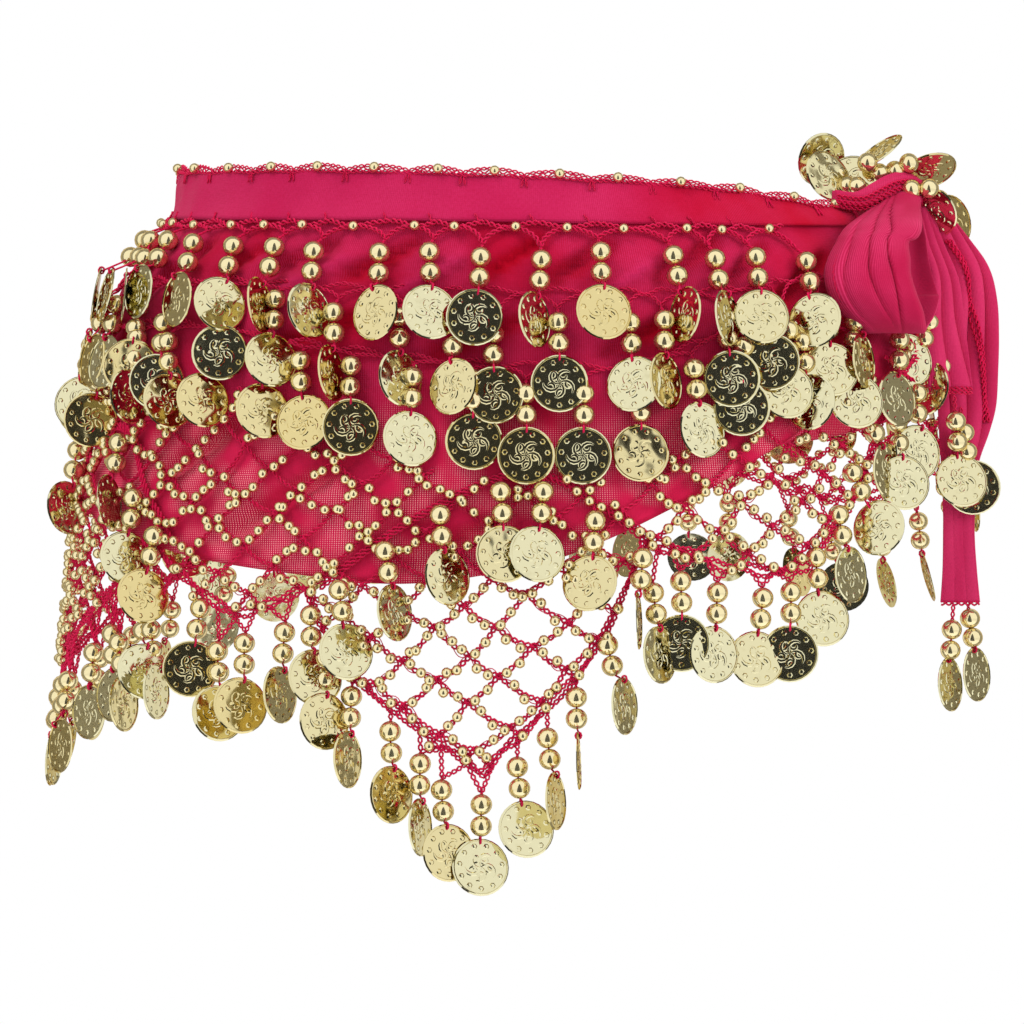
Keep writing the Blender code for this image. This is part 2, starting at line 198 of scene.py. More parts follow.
# ---- knot, loop and tails ----
# The bow's loop, down its front from the knot and back up behind: height, left x, right x, y,
# how deep its soft pleats are, and where its three pleats run across it (0 to 1)
LOOP = (
    (1, 133, 145, -36, 0.5, 0.08, 0.18, 0.28), (-4, 127.5, 143.5, -46, 0.8, 0.10, 0.25, 0.38),
    (-12, 117, 142, -66, 1, 0.13, 0.36, 0.56), (-16, 113.5, 140, -73, 1, 0.16, 0.41, 0.64),
    (-18.5, 112, 136.2, -76.5, 1, 0.19, 0.45, 0.69), (-25, 108.5, 136, -83, 0.9, 0.22, 0.48, 0.72),
    (-31, 107, 136, -86, 0.75, 0.20, 0.50, 0.78), (-38, 108.6, 138, -87, 0.5, 0.17, 0.52, 0.765),
    (-44, 113, 140.5, -85, 0.25, 0.17, 0.52, 0.70), (-48.5, 119, 141.7, -81, 0.1, 0.17, 0.52, 0.64),
    (-50.3, 122, 142.3, -76, 0, 0.17, 0.5, 0.62), (-48.5, 122, 143.5, -73, 0, 0.17, 0.5, 0.62),
    (-44, 122, 146.4, -71.5, 0, 0.17, 0.5, 0.62), (-38, 124, 148.2, -69, 0, 0.17, 0.5, 0.62),
    (-35.5, 125, 147.9, -64.5, 0, 0.17, 0.5, 0.62), (-25, 127, 145.6, -60, 0, 0.17, 0.5, 0.62),
    (-14, 130, 145, -52, 0, 0.17, 0.5, 0.62), (-4, 133, 144, -41, 0, 0.17, 0.5, 0.62),
    (1, 135, 142, -33, 0, 0.17, 0.5, 0.62),
)
LOOP_TURN = 10.2          # the row of the table where the loop turns back up
# Each pleat: depth, half width, 1 if it stays as deep down to the turn
PLEATS = ((1.9, 0.042, 0), (3.4, 0.034, 0), (5.2, 0.024, 1))
# The free ends: x, y, z, width, the way the width runs, depth of the folds
TAIL_OUTER = (
    (149.5, -24, 1, 8, 34, 2.0), (156.5, -26, -14, 17, 32, 3.4), (161.3, -28, -25, 21, 31, 4.6),
    (162.2, -29, -37, 24.5, 30, 5.4), (161.8, -30, -50, 26.5, 30, 5.4), (161.2, -31, -63, 27, 29, 5.0),
    (161.4, -33, -76, 24.5, 27, 4.0), (160.6, -36, -86, 20, 22, 2.6), (159.1, -39, -97, 14.5, 16, 1.2),
    (158.8, -40, -108, 12.2, 10, 0.5), (158.6, -40.5, -122, 11.6, 2, 0.2), (159, -40, -136, 12.6, -4, 0.2),
    (159.2, -40, -148, 14.5, -8, 0.4),
)
TAIL_INNER = (
    (145, -31, -3, 6, 36, 1.6), (148.3, -37, -16, 9, 32, 2.6), (152.6, -42, -30, 10.5, 30, 3.4),
    (153, -45, -45, 14, 28, 3.4), (153.8, -47, -58, 17, 26, 2.8), (154.6, -48, -69.5, 19, 24, 2.0),
)
TAIL_FOLDS = 3.3, 2.3     # how many folds run down the outer and the inner end
TAIL_CUTS = 60.0, 34.0    # how wide each end's cloth is, laid flat
KNOT_CENTRE, KNOT_RADII = (139, -19, 0.5), (8, 11.5, 8)
# The gathered end that goes over the knot: x, y, z, width, thickness
BAND_PATH = (
    (112, -52, -1, 6, 3.6), (121.5, -47, -1.5, 6.5, 4), (128.5, -43, 1.8, 7, 4.4),
    (134, -39, 4.6, 7.5, 4.6), (139.6, -35, 5.6, 8, 4.6), (145, -30.5, 4, 7, 4.4),
    (149, -26, -1, 6, 4),
)
# Drops caught up round the knot: first bead, second bead and coin (x, y, z each), facing, tilt
KNOT_DROPS = (
    (118, -28, 5, 115, -31, 9, 109.5, -24, 15.5, 28, -16),
    (121, -33, 4, 118, -36, 4.5, 111, -38, 8.2, 34, 20),
    (124, -34, 3, 121.5, -38, 4.2, 119.5, -33, 7, -20, 20),
    (130, -34, 9.5, 125.5, -37, 13.2, 130.5, -30, 18, -63, 50),
    (136, -33, 10.5, 141, -34, 13.2, 149.5, -28, 11, 18, -54),
    (141.5, -38, 3.2, 148, -38, 3.6, 150, -30, -4.5, -34, -26),
    (151, -8, 6, 155, -6, 2, 160, -8, -6, 40, 10),
)
TIE_REACH = 9.5           # how far the loose drops' thread goes on over the first bead
# Drops on short threads by the tails
TAIL_DROPS = (
    (156.5, -50, -82, 157, -50, -89.5, 158.5, -50, -103.5, 14, 14),
    (160, -46, -86, 161, -46, -93, 163.5, -44, -106, -8, 2),
    (156, -41, -158, 155.5, -41, -165.5, 155.5, -41, -178, 58, 4),
    (163, -38, -154, 164, -38, -161, 165.5, -38, -174.5, 54, 4),
    (147, -48, -46, 145, -50, -52, 139, -56, -60, 30, 10),
    (152, -44, -56, 152, -46, -62, 146, -50, -70, -44, 8),
)


# ---- reading tables, and places on the scarf ----
def smooth(table, x, column=1):
    """Read a column at x, one number or many, along a smooth curve through the rows."""
    rows = np.array(sorted(table), float)
    at, value = rows[:, 0], rows[:, column]
    slope = np.concatenate((
        [(value[1] - value[0]) / (at[1] - at[0])],
        (value[2:] - value[:-2]) / (at[2:] - at[:-2]),
        [(value[-1] - value[-2]) / (at[-1] - at[-2])],
    ))
    x = np.clip(x, at[0], at[-1])
    i = np.clip(np.searchsorted(at, x, side="right") - 1, 0, len(at) - 2)
    width = at[i + 1] - at[i]
    t = (x - at[i]) / width
    return ((2 * t**3 - 3 * t**2 + 1) * value[i] + (t**3 - 2 * t**2 + t) * slope[i] * width
            + (3 * t**2 - 2 * t**3) * value[i + 1] + (t**3 - t**2) * slope[i + 1] * width)


def straight(table, x):
    at, value = zip(*table)
    return np.interp(x, at, value)


def either(front, back, read=smooth):
    """A line's height as a function of turn, from the front's table and the back's."""
    def height(turn):
        away = np.abs(turn)
        return np.where(np.asarray(turn) >= 0, read(front, away), read(back, away))
    return height


top_line, hem_line = either(TOP, TOP), either(HEM, HEM_BACK)
row_lines = [either(row, row) for row in (ROW_1, ROW_2, ROW_3)]
net_top_line = either(NET_TOP, NET_TOP_BACK, straight)
net_edge_line = either(NET_EDGE, NET_EDGE_BACK, straight)


def unit(vectors):
    return vectors / np.linalg.norm(vectors, axis=-1, keepdims=True)


def scarf_angle(turn):
    front = KNOT_AT - MIDDLE_AT
    stretch = np.where(np.asarray(turn) >= 0, 1.0, (360.0 - front) / front)
    return np.radians(MIDDLE_AT + turn * stretch)


def outward(turn, height):
    """The level direction that points straight out of the scarf."""
    angle = scarf_angle(turn)
    half_width, half_depth = smooth(FIGURE, height, 1), smooth(FIGURE, height, 2)
    return unit(np.stack((np.sin(angle) / half_width, -np.cos(angle) / half_depth, 0 * angle), axis=-1))


def on_scarf(turn, height, lift=0.0):
    turn, height, lift = np.broadcast_arrays(np.asarray(turn, float), height, lift)
    angle = scarf_angle(turn)
    half_width, half_depth = smooth(FIGURE, height, 1), smooth(FIGURE, height, 2)
    point = np.stack((half_width * np.sin(angle), -half_depth * np.cos(angle), height), axis=-1)
    return point + outward(turn, height) * lift[..., None]


def facing_out(turn):
    """The way out of the scarf at a turn, in degrees: 0 to the front, 90 to the right."""
    way = outward(turn, -50.0)
    return math.degrees(math.atan2(way[0], -way[1]))


def reach_along(path):
    """The length from a path's start to each of its points."""
    return np.concatenate(([0.0], np.cumsum(np.linalg.norm(np.diff(path, axis=0), axis=1))))


# The length round the scarf at net height, from its middle, minus on the back
RING_TURNS = np.linspace(-168, 168, 1345)
RING_LENGTH = reach_along(on_scarf(RING_TURNS, -110.0))
RING_LENGTH -= np.interp(0.0, RING_TURNS, RING_LENGTH)


def length_at(turn):
    return np.interp(turn, RING_TURNS, RING_LENGTH)


def turn_at(length):
    return np.interp(length, RING_LENGTH, RING_TURNS)


def route(turn, height, lift):
    """Rows of turn, height and lift, where each may be one number or many."""
    return np.stack(np.broadcast_arrays(turn, height, lift), axis=1)


# ---- making meshes ----
class Pile:
    """Points and faces gathered for one joined mesh."""

    def __init__(self):
        self.points, self.quads, self.tris, self.uvs, self.tints = [], [], [], [], []
        self.count = 0

    def add(self, points, quads, tris=(), uvs=None, tint=0.5):
        self.quads.append(quads + self.count)
        if len(tris):
            self.tris.append(tris + self.count)
        self.points.append(points)
        self.uvs.append(points[:, [0, 2]] * MM if uvs is None else uvs)
        self.tints.append(np.broadcast_to(tint, len(points)))
        self.count += len(points)

    def mesh(self, name, sharp):
        quads = np.concatenate(self.quads)
        tris = np.concatenate(self.tris) if self.tris else np.zeros((0, 3), int)
        loops = np.concatenate((quads.ravel(), tris.ravel()))
        starts = np.concatenate((np.arange(len(quads)) * 4, quads.size + np.arange(len(tris)) * 3))
        made = bpy.data.meshes.new(name)
        made.vertices.add(self.count)
        made.vertices.foreach_set("co", (np.concatenate(self.points) * MM).astype(np.float32).ravel())
        made.loops.add(len(loops))
        made.loops.foreach_set("vertex_index", loops.astype(np.int32))
        made.polygons.add(len(starts))
        made.polygons.foreach_set("loop_start", starts.astype(np.int32))
        made.update(calc_edges=True)
        uv_layer = made.uv_layers.new(name="UVMap")
        uv_layer.data.foreach_set("uv", np.concatenate(self.uvs)[loops].astype(np.float32).ravel())
        # The tint: a tone that varies at random on the coins, and painted shade and light on the cloth, loop
        # and tails.
        tint = made.attributes.new("tint", "FLOAT", "POINT")
        tint.data.foreach_set("value", np.concatenate(self.tints).astype(np.float32))
        made.shade_smooth()
        if sharp:
            made.set_sharp_from_angle(angle=math.radians(sharp))
        return made


def piece(name, pile, finish, nodes=(), sharp=None):
    """A finished object of the scarf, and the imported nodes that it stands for, if any."""
    made = bpy.data.objects.new(name, pile.mesh(name, sharp))
    made.data.materials.append(finish)
    bpy.context.scene.collection.objects.link(made)
    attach(made, "root")
    if nodes:
        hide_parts(*nodes)
    return made


def grid_faces(rows, columns, first=0):
    i, j = np.meshgrid(np.arange(rows - 1), np.arange(columns - 1), indexing="ij")
    corner = (first + i * columns + j).ravel()
    return np.stack((corner, corner + 1, corner + columns + 1, corner + columns), axis=1)


def add_sheet(pile, outer, inner, uvs, tints):
    """A closed wall between two grids of points, with its rim."""
    rows, columns = outer.shape[:2]
    size = rows * columns
    quads = [grid_faces(rows, columns), grid_faces(rows, columns, size)[:, ::-1]]
    index = np.arange(size).reshape(rows, columns)
    for edge, way in ((index[:, 0], 1), (index[:, -1], -1), (index[0], -1), (index[-1], 1)):
        rim = np.stack((edge[:-1], edge[1:], edge[1:] + size, edge[:-1] + size), axis=1)
        quads.append(rim[:, ::way])
    quads = np.concatenate(quads)
    points = np.concatenate((outer.reshape(-1, 3), inner.reshape(-1, 3)))
    corners = points[quads]
    across = np.cross(corners[:, 2] - corners[:, 0], corners[:, 3] - corners[:, 1])
    if np.sum(across * (corners.mean(1) - points.mean(0))) < 0:
        quads = quads[:, ::-1]
    uvs = uvs.reshape(-1, 2) * MM
    tints = np.broadcast_to(tints, (rows, columns)).ravel()
    pile.add(points, quads, uvs=np.concatenate((uvs, uvs)), tint=np.concatenate((tints, tints)))


def grid_normals(grid):
    along = np.gradient(grid, axis=0)
    down = np.gradient(grid, axis=1)
    return unit(np.cross(down, along))


def ring_faces(rings, segments):
    """Corner numbers of a stack of rings, those of the corners that follow, and the quads between."""
    corner = np.arange(rings * segments).reshape(rings, segments)
    following = np.roll(corner, -1, axis=1)
    quads = np.stack((corner[:-1], following[:-1], following[1:], corner[1:]), axis=-1)
    return corner, following, quads.reshape(-1, 4)


def pole_faces(corner, following):
    """Triangles that close a stack of rings, with a point for each end after the rings' points."""
    first = np.full_like(corner[0], corner.size)
    return np.concatenate((
        np.stack((first, corner[0], following[0]), axis=1),
        np.stack((first + 1, following[-1], corner[-1]), axis=1),
    ))


def add_tube(pile, path, out, radius, tint=0.5):
    """A thread along a path, three-sided and closed. out points away from what it lies on."""
    along = unit(np.gradient(path, axis=0))
    first = unit(out - np.sum(out * along, axis=1, keepdims=True) * along)
    second = np.cross(along, first)
    angles = 2 * np.pi * np.arange(3) / 3
    ring = path[:, None] + radius * (np.cos(angles)[:, None] * first[:, None]
                                     + np.sin(angles)[:, None] * second[:, None])
    corner, _, quads = ring_faces(len(path), 3)
    ends = np.concatenate((corner[:1, ::-1], corner[-1:]))
    pile.add(ring.reshape(-1, 3), quads, ends, tint=tint)


def resample(keys, spacing):
    """Points at even steps along a line of (turn, height, lift), and the way out at each."""
    keys = np.asarray(keys, float)
    reach = reach_along(on_scarf(*keys.T))
    steps = np.linspace(0, reach[-1], max(3, int(round(reach[-1] / spacing)) + 1))
    turn, height, lift = (np.interp(steps, reach, column) for column in keys.T)
    return on_scarf(turn, height, lift), outward(turn, height)


def add_chain(pile, keys, chain=TRIM_CHAIN, spacing=0.85):
    """A crochet chain along a line of (turn, height, lift)."""
    path, out = resample(keys, spacing)
    add_chain_on(pile, path, out, chain)


def add_chain_on(pile, path, out, chain):
    """A crochet chain: two strands that cross at each stitch and open between."""
    half, thread = chain
    out = np.asarray(out, float)
    side = np.cross(unit(np.gradient(path, axis=0)), out)
    reach = reach_along(path)
    stitches = max(1, round(reach[-1] / STITCH))
    phase = reach / max(reach[-1], 1e-6) * np.pi * stitches + rng.uniform(0, 0.8)
    for strand in (0.0, np.pi):
        swing = np.sin(phase + strand)[:, None] * half
        rise = np.cos(phase + strand)[:, None] * thread * 0.9
        add_tube(pile, path + side * swing + out * rise, out, thread, tint=rng.uniform(0.3, 0.7))


def lathe(profile, segments):
    """A closed turned form from rows of radius and height, top to bottom, with a pole at each end."""
    angles = 2 * np.pi * np.arange(segments) / segments
    rings = np.array(profile[1:-1], float)
    around = np.stack((
        rings[:, :1] * np.cos(angles), rings[:, :1] * np.sin(angles),
        np.repeat(rings[:, 1:], segments, axis=1),
    ), axis=-1).reshape(-1, 3)
    points = np.concatenate((around, [(0, 0, profile[0][1]), (0, 0, profile[-1][1])]))
    corner, following, quads = ring_faces(len(rings), segments)
    return points, quads[:, [0, 3, 2, 1]], pole_faces(corner, following)


def bead_form(radius, segments, rings):
    """A bead with a slightly flattened hole at each end."""
    profile = [(0.0, radius * 0.93)]
    for k in range(rings):
        angle = math.radians(12 + (180 - 24) * k / (rings - 1))
        profile.append((radius * math.sin(angle), radius * math.cos(angle) * 0.96))
    return lathe(profile + [(0.0, -radius * 0.93)], segments)


def coin_form(faces):
    """A stamped coin that faces -Y with its hole at the top, and relief on one face or both."""
    pile, relief = Pile(), Pile()
    pile.add(*lathe(COIN_PROFILE, 28))
    add_relief(relief)
    for face in faces:
        raised = np.concatenate(relief.points) * (face, 1, face)
        pile.add(raised, np.concatenate(relief.quads), np.concatenate(relief.tris))
    points = np.concatenate(pile.points)[:, [0, 2, 1]] * (1, -1, 1)
    return points, np.concatenate(pile.quads), np.concatenate(pile.tris)


def add_relief(pile):
    """The ring of dots and the leaves, on a coin that faces +Z."""
    corner, following, quads = ring_faces(2, 6)
    tris = np.stack((corner[1], following[1], np.full(6, 12)), axis=1)
    turned = 2 * np.pi * np.arange(6) / 6
    circle = np.stack((np.cos(turned), np.sin(turned), 0 * turned), axis=1)
    for k in range(DOTS):
        angle = math.radians(90 + 360 * (k + 0.5) / DOTS)
        centre = np.array((DOT_RING * math.cos(angle), DOT_RING * math.sin(angle), 0.0))
        rings = [centre + radius * circle + (0, 0, height) for radius, height in DOT]
        pile.add(np.concatenate((*rings, [centre + (0, 0, DOT_TOP)])), quads, tris)
    for turn, size in LEAVES:
        for out, aside, radius, start, sweep in LEAF:
            angles = np.radians(turn + start + sweep * np.linspace(0, 1, 7))
            centre = size * (out + 1j * aside) * np.exp(1j * math.radians(turn))
            line = centre + size * radius * np.exp(1j * angles)
            add_stroke(pile, np.stack((line.real, line.imag, 0 * angles), axis=1))


def add_stroke(pile, line):
    """A raised ridge along a line on a coin's face, tapered at its ends."""
    along = unit(np.gradient(line, axis=0))
    side = np.stack((-along[:, 1], along[:, 0], 0 * along[:, 0]), axis=1)
    taper = np.sin(np.pi * np.linspace(0.12, 0.88, len(line)))[:, None]
    foot = np.array((0, 0, STROKE_FOOT))
    edge = side * STROKE * taper
    top = line + foot + (0, 0, STROKE_TOP - STROKE_FOOT) * taper
    rows = np.stack((line + edge + foot, top + 0.45 * edge, top - 0.45 * edge, line - edge + foot), axis=1)
    pile.add(rows.reshape(-1, 3), grid_faces(len(line), 4)[:, ::-1])


LARGE_FORM = bead_form(LARGE_BEAD, 16, 9)
SMALL_FORM = bead_form(SMALL_BEAD, 10, 6)
COIN_FORM, LOOSE_COIN_FORM = coin_form((1,)), coin_form((1, -1))


def put(pile, form, place, axes, tint=0.5, bend=0.0):
    """A copy of a form at a place; the rows of axes are where its x, y and z go."""
    points, quads, tris = form
    if bend:
        way = rng.uniform(0, np.pi)
        across = points[:, 0] * math.cos(way) + points[:, 2] * math.sin(way)
        points = points + np.stack((0 * across, bend * across**2, 0 * across), axis=1)
    pile.add(points @ axes + place, quads, tris, tint=tint)


def any_axes():
    """Axes that lie any way round."""
    first, second = unit(rng.normal(size=3)), unit(rng.normal(size=3))
    third = unit(np.cross(first, second))
    return np.stack((first, np.cross(third, first), third))


# ---- drops: two beads and a coin on their thread ----
class Goods:
    """The coins, beads and threads of one group of drops."""

    def __init__(self):
        self.coins, self.beads, self.threads = Pile(), Pile(), Pile()
        self.placed = []

    def finish(self, name, nodes):
        return [
            piece(name + "_coins", self.coins, COIN_FINISH, nodes, sharp=30),
            piece(name + "_beads", self.beads, BEAD_FINISH),
            piece(name + "_threads", self.threads, THREAD_FINISH),
        ]


def coin_axes(facing, tilt, up):
    """Axes of a coin whose face looks along a facing and a tilt, with its hole towards up."""
    facing, tilt = math.radians(facing), math.radians(tilt)
    level = math.cos(tilt)
    normal = np.array((math.sin(facing) * level, -math.cos(facing) * level, math.sin(tilt)))
    rise = unit(up - np.dot(up, normal) * normal)
    return np.stack((np.cross(-normal, rise), -normal, rise))


def add_drop(goods, first, second, coin, facing, tilt, form):
    """Two beads and a coin at their places, with the thread that joins them."""
    string = unit(first - second)
    aside = unit(np.cross(string, (0.3, 1.0, 0.1)))
    axes = np.stack((aside, np.cross(string, aside), string))
    put(goods.beads, LARGE_FORM, first, axes)
    put(goods.beads, LARGE_FORM, second, axes)
    axes = coin_axes(facing, tilt, unit(second - coin))
    put(goods.coins, form, coin, axes, tint=rng.uniform() ** 3, bend=rng.uniform(-0.003, 0.003))
    out, rise = -axes[1], axes[2]
    hole = coin + rise * HOLE
    line = (first + string * 3.2, first, second, second - string * 3.3, hole + out * 0.7, hole + out * 0.1)
    add_tube(goods.threads, np.stack(line), out + 0.01 * rise, 0.42)
    ring = (2 * np.pi * np.arange(9) / 8)[:, None]
    loop = hole + rise * 0.9 + 1.3 * (np.cos(ring) * rise + np.sin(ring) * out * 0.8)
    add_tube(goods.threads, loop, axes[0], 0.44)


def hang(goods, drop, head, lift, coin_lift):
    """A drop of a row: its head is where it is tied to its line, and it hangs close to the cloth."""
    turn, height, swing, facing, tilt = drop
    lean = math.radians(swing)
    side = on_scarf(turn, height, lift)[0]
    turns_near = turn + np.linspace(-9, 9, 73)

    def below(distance, out):
        """The place that far down and out. In front, the swing is measured straight across."""
        down = height - distance * math.cos(lean)
        aside = distance * math.sin(lean)
        if turn < 0:
            return on_scarf(turn_at(length_at(turn) + aside), down, out)
        row = on_scarf(turns_near, down, out)
        miss = np.abs(row[:, 0] - side - aside) + 0.12 * np.abs(turns_near - turn)
        return row[np.argmin(miss)]

    first, second = below(0.0, lift), below(BEAD_GAP, lift + 0.4)
    if turn >= 0:
        facing -= TURN_IN * first[0]
    spread = COIN * abs(math.sin(math.radians(facing - facing_out(turn))))
    rest = max(coin_lift, 0.75 * spread + 0.8)
    coin = below(COIN_GAP, settle(goods, below(COIN_GAP, rest), rest))
    form = LOOSE_COIN_FORM if turn < 0 and height < SEEN_FROM_INSIDE else COIN_FORM
    add_drop(goods, first, second, coin, facing, tilt, form)
    start, tie = first + (0, 0, LARGE_BEAD * 0.6), on_scarf(*head, NET_LIFT)
    reach = np.linalg.norm(tie - start)
    if reach > 1.5:
        path = np.linspace(start, tie, max(3, int(reach / 0.8)))
        add_chain_on(goods.threads, path, outward(turn, height), TIE_CHAIN)


def settle(goods, coin, lift):
    """Coins that overlap lie on one another like shingles."""
    for other, height in goods.placed:
        if np.linalg.norm(other - coin) < 2 * COIN and abs(lift - height) < 0.9:
            lift = height + 0.95
    goods.placed.append((coin, lift))
    return lift


def back_row(line, plan):
    """Drops at even steps along the hidden half, hung as unevenly as those in front."""
    gap, fall, last, first = plan
    drops = []
    for length in np.arange(length_at(last), length_at(first), gap):
        turn = float(turn_at(length + rng.uniform(-3, 3)))
        slant = rng.choice((-58, -32, -12, 6, 18, 40, 62)) * rng.uniform(0.7, 1.05)
        facing = facing_out(turn) + (slant if turn < -30 else 0.3 * slant)
        height = float(line(turn)) - fall - rng.uniform(0, 3)
        drops.append((turn, height, rng.uniform(-9, 9), facing, rng.uniform(2, 16)))
    return drops


# ---- materials ----
def new_material(name, roughness, metallic=0.0, **sockets):
    made = bpy.data.materials.new(name)
    made.use_nodes = True
    shader = made.node_tree.nodes["Principled BSDF"]
    shader.inputs["Roughness"].default_value = roughness
    shader.inputs["Metallic"].default_value = metallic
    for socket, value in sockets.items():
        shader.inputs[socket.replace("_", " ")].default_value = value
    return made, made.node_tree, shader


def feed(tree, made, values):
    """Set a node's sockets, from constants or from other nodes' outputs."""
    for socket, value in values.items():
        if hasattr(value, "links"):
            tree.links.new(value, made.inputs[socket])
        else:
            made.inputs[socket].default_value = value


def node(tree, kind, values=None, **settings):
    made = tree.nodes.new(kind)
    for name, value in settings.items():
        setattr(made, name, value)
    feed(tree, made, values or {})
    return made


def combined(tree, operation, *values):
    return node(tree, "ShaderNodeMath", dict(enumerate(values)), operation=operation).outputs[0]


def mixed(tree, share, low, high):
    """A colour between two colours or sockets, by a share."""
    low, high = (value if hasattr(value, "links") else (*value, 1.0) for value in (low, high))
    return node(tree, "ShaderNodeMix", {0: share, 6: low, 7: high}, data_type="RGBA").outputs[2]


def darker(colour, share):
    return tuple(channel * share for channel in colour)


def place_in(tree, kind="Object"):
    return node(tree, "ShaderNodeTexCoord").outputs[kind]


def tint_of(tree):
    """The tint that a piece's points carry."""
    return node(tree, "ShaderNodeAttribute", attribute_name="tint").outputs["Fac"]


def noise(tree, place, scale, detail):
    values = {"Vector": place, "Scale": scale, "Detail": detail}
    return node(tree, "ShaderNodeTexNoise", values).outputs["Fac"]


def rows_of_stitches(tree, place, scale, way):
    values = {"Vector": place, "Scale": scale, "Distortion": 0.2, "Detail": 1.0}
    return node(tree, "ShaderNodeTexWave", values, bands_direction=way).outputs["Fac"]


def spread_out(tree, value, low, high):
    """A value stretched from low..high to 0..1."""
    values = {"Value": value, "From Min": low, "From Max": high}
    return node(tree, "ShaderNodeMapRange", values, interpolation_type="SMOOTHSTEP").outputs["Result"]


def bump(tree, height, strength, distance, over=None):
    values = {"Height": height, "Strength": strength, "Distance": distance}
    if over:
        values["Normal"] = over
    return node(tree, "ShaderNodeBump", values).outputs[0]


def knit_material(name, deep, bright, pinhole_light):
    """Fine stretch knit: vertical ribs, a mottled nap, painted shade and light from the tint, and painted
    light in its pinholes low down if asked for.
    """
    made, tree, shader = new_material(
        name, 0.82, Sheen_Weight=0.12, Sheen_Roughness=0.45, Sheen_Tint=(1.0, 0.25, 0.45, 1.0),
        Specular_IOR_Level=0.10, Specular_Tint=(1.0, 0.35, 0.5, 1.0))
    uv = place_in(tree, "UV")
    ribs, courses = rows_of_stitches(tree, uv, 370.0, "X"), rows_of_stitches(tree, uv, 480.0, "Y")
    patches = noise(tree, uv, 22.0, 3.0)
    drift = combined(tree, "MULTIPLY_ADD", patches, 0.5, -0.25)
    # The tint sets the base colour: on the cloth and the tie ends it carries painted shade and painted light.
    share = combined(tree, "ADD", tint_of(tree), drift)
    base = mixed(tree, spread_out(tree, share, 0.0, 1.0), deep, bright)
    rib_share = combined(tree, "MULTIPLY", ribs, spread_out(tree, patches, 0.35, 0.65))
    ribbed = mixed(tree, rib_share, base, tuple(min(1.0, channel * 1.12 + 0.01) for channel in bright))
    nap = combined(tree, "MULTIPLY", noise(tree, uv, 900.0, 2.0), 0.5)
    colour = mixed(tree, nap, ribbed, darker(deep, 0.72))
    # Painted light low down: a paler red, and pale specks in the pinholes.
    if pinhole_light:
        colour = paint_pinhole_light(tree, uv, colour, combined(tree, "MULTIPLY", ribs, courses))
    feed(tree, shader, {"Base Color": colour})
    fine = bump(tree, combined(tree, "ADD", ribs, courses), 0.25, 0.00012)
    feed(tree, shader, {"Normal": bump(tree, patches, 0.5, 0.0012, fine)})
    return made


def paint_pinhole_light(tree, uv, colour, between_stitches):
    """The lower cloth, painted light: a paler red, and patches of pale specks where its pinholes would let
    light through.
    """
    height = node(tree, "ShaderNodeSeparateXYZ", {0: uv}).outputs["Y"]
    low = spread_out(tree, height, -0.066, -0.10)
    lit_pinhole_patch = spread_out(tree, noise(tree, uv, 55.0, 1.0), 0.38, 0.58)
    lit_pinholes = spread_out(tree, between_stitches, 0.42, 0.80)
    lit_pinholes = combined(tree, "MULTIPLY", lit_pinholes, combined(tree, "MULTIPLY", low, lit_pinhole_patch))
    # Painted light: low down the cloth's colour is mixed towards a brighter red.
    colour = mixed(tree, combined(tree, "MULTIPLY", low, 0.55), colour, (0.68, 0.014, 0.065))
    # Painted light: pale specks in the pinholes, as if light showed through them.
    return mixed(tree, lit_pinholes, colour, (1.0, 0.50, 0.53))


def thread_material(name, deep, bright):
    made, tree, shader = new_material(
        name, 0.75, Sheen_Weight=0.10, Sheen_Roughness=0.4, Sheen_Tint=(1.0, 0.4, 0.55, 1.0),
        Specular_IOR_Level=0.15)
    place = place_in(tree)
    plies = noise(tree, place, 1400.0, 2.0)
    drift = combined(tree, "MULTIPLY", noise(tree, place, 45.0, 1.0), 0.35)
    colour = mixed(tree, drift, mixed(tree, plies, deep, bright), deep)
    feed(tree, shader, {"Base Color": colour, "Normal": bump(tree, plies, 0.6, 0.00015)})
    return made


def plated_material(name, pale, gold, roughness, dents, tarnish, metallic=1.0):
    """Thin gold plate: each piece has its own tint, with soft dents and a little tarnish."""
    made, tree, shader = new_material(name, roughness, metallic, Specular_Tint=(0.42, 0.27, 0.10, 1.0))
    place = place_in(tree)
    worn = spread_out(tree, noise(tree, place, 260.0, 3.0), 0.55, 0.85)
    worn = combined(tree, "MULTIPLY", worn, tarnish)
    colour = mixed(tree, worn, mixed(tree, tint_of(tree), pale, gold), darker(gold, 0.55))
    wobble = bump(tree, noise(tree, place, 210.0, 0.0), 0.5, dents)
    feed(tree, shader, {"Base Color": colour, "Normal": wobble})
    return made


def plain_material(name, colour):
    made, tree, shader = new_material(name, 0.9)
    grain = noise(tree, place_in(tree), 3.0, 2.0)
    feed(tree, shader, {"Base Color": mixed(tree, grain, colour, darker(colour, 0.98))})
    return made


CLOTH_FINISH = knit_material("fuchsia_knit", (0.43, 0.0015, 0.015), (0.50, 0.016, 0.096), True)
TIE_FINISH = knit_material("fuchsia_knit_ends", (0.42, 0.009, 0.054), (0.60, 0.030, 0.125), False)
THREAD_FINISH = thread_material("fuchsia_thread", (0.52, 0.003, 0.046), (0.74, 0.012, 0.092))
BEAD_FINISH = plated_material("gold_beads", (0.95, 0.87, 0.58), (0.90, 0.74, 0.36), 0.07, 0.00001, 0.03, 0.93)
COIN_FINISH = plated_material("gold_coins", (0.80, 0.755, 0.485), (0.78, 0.64, 0.29), 0.09, 0.00038, 0.24)


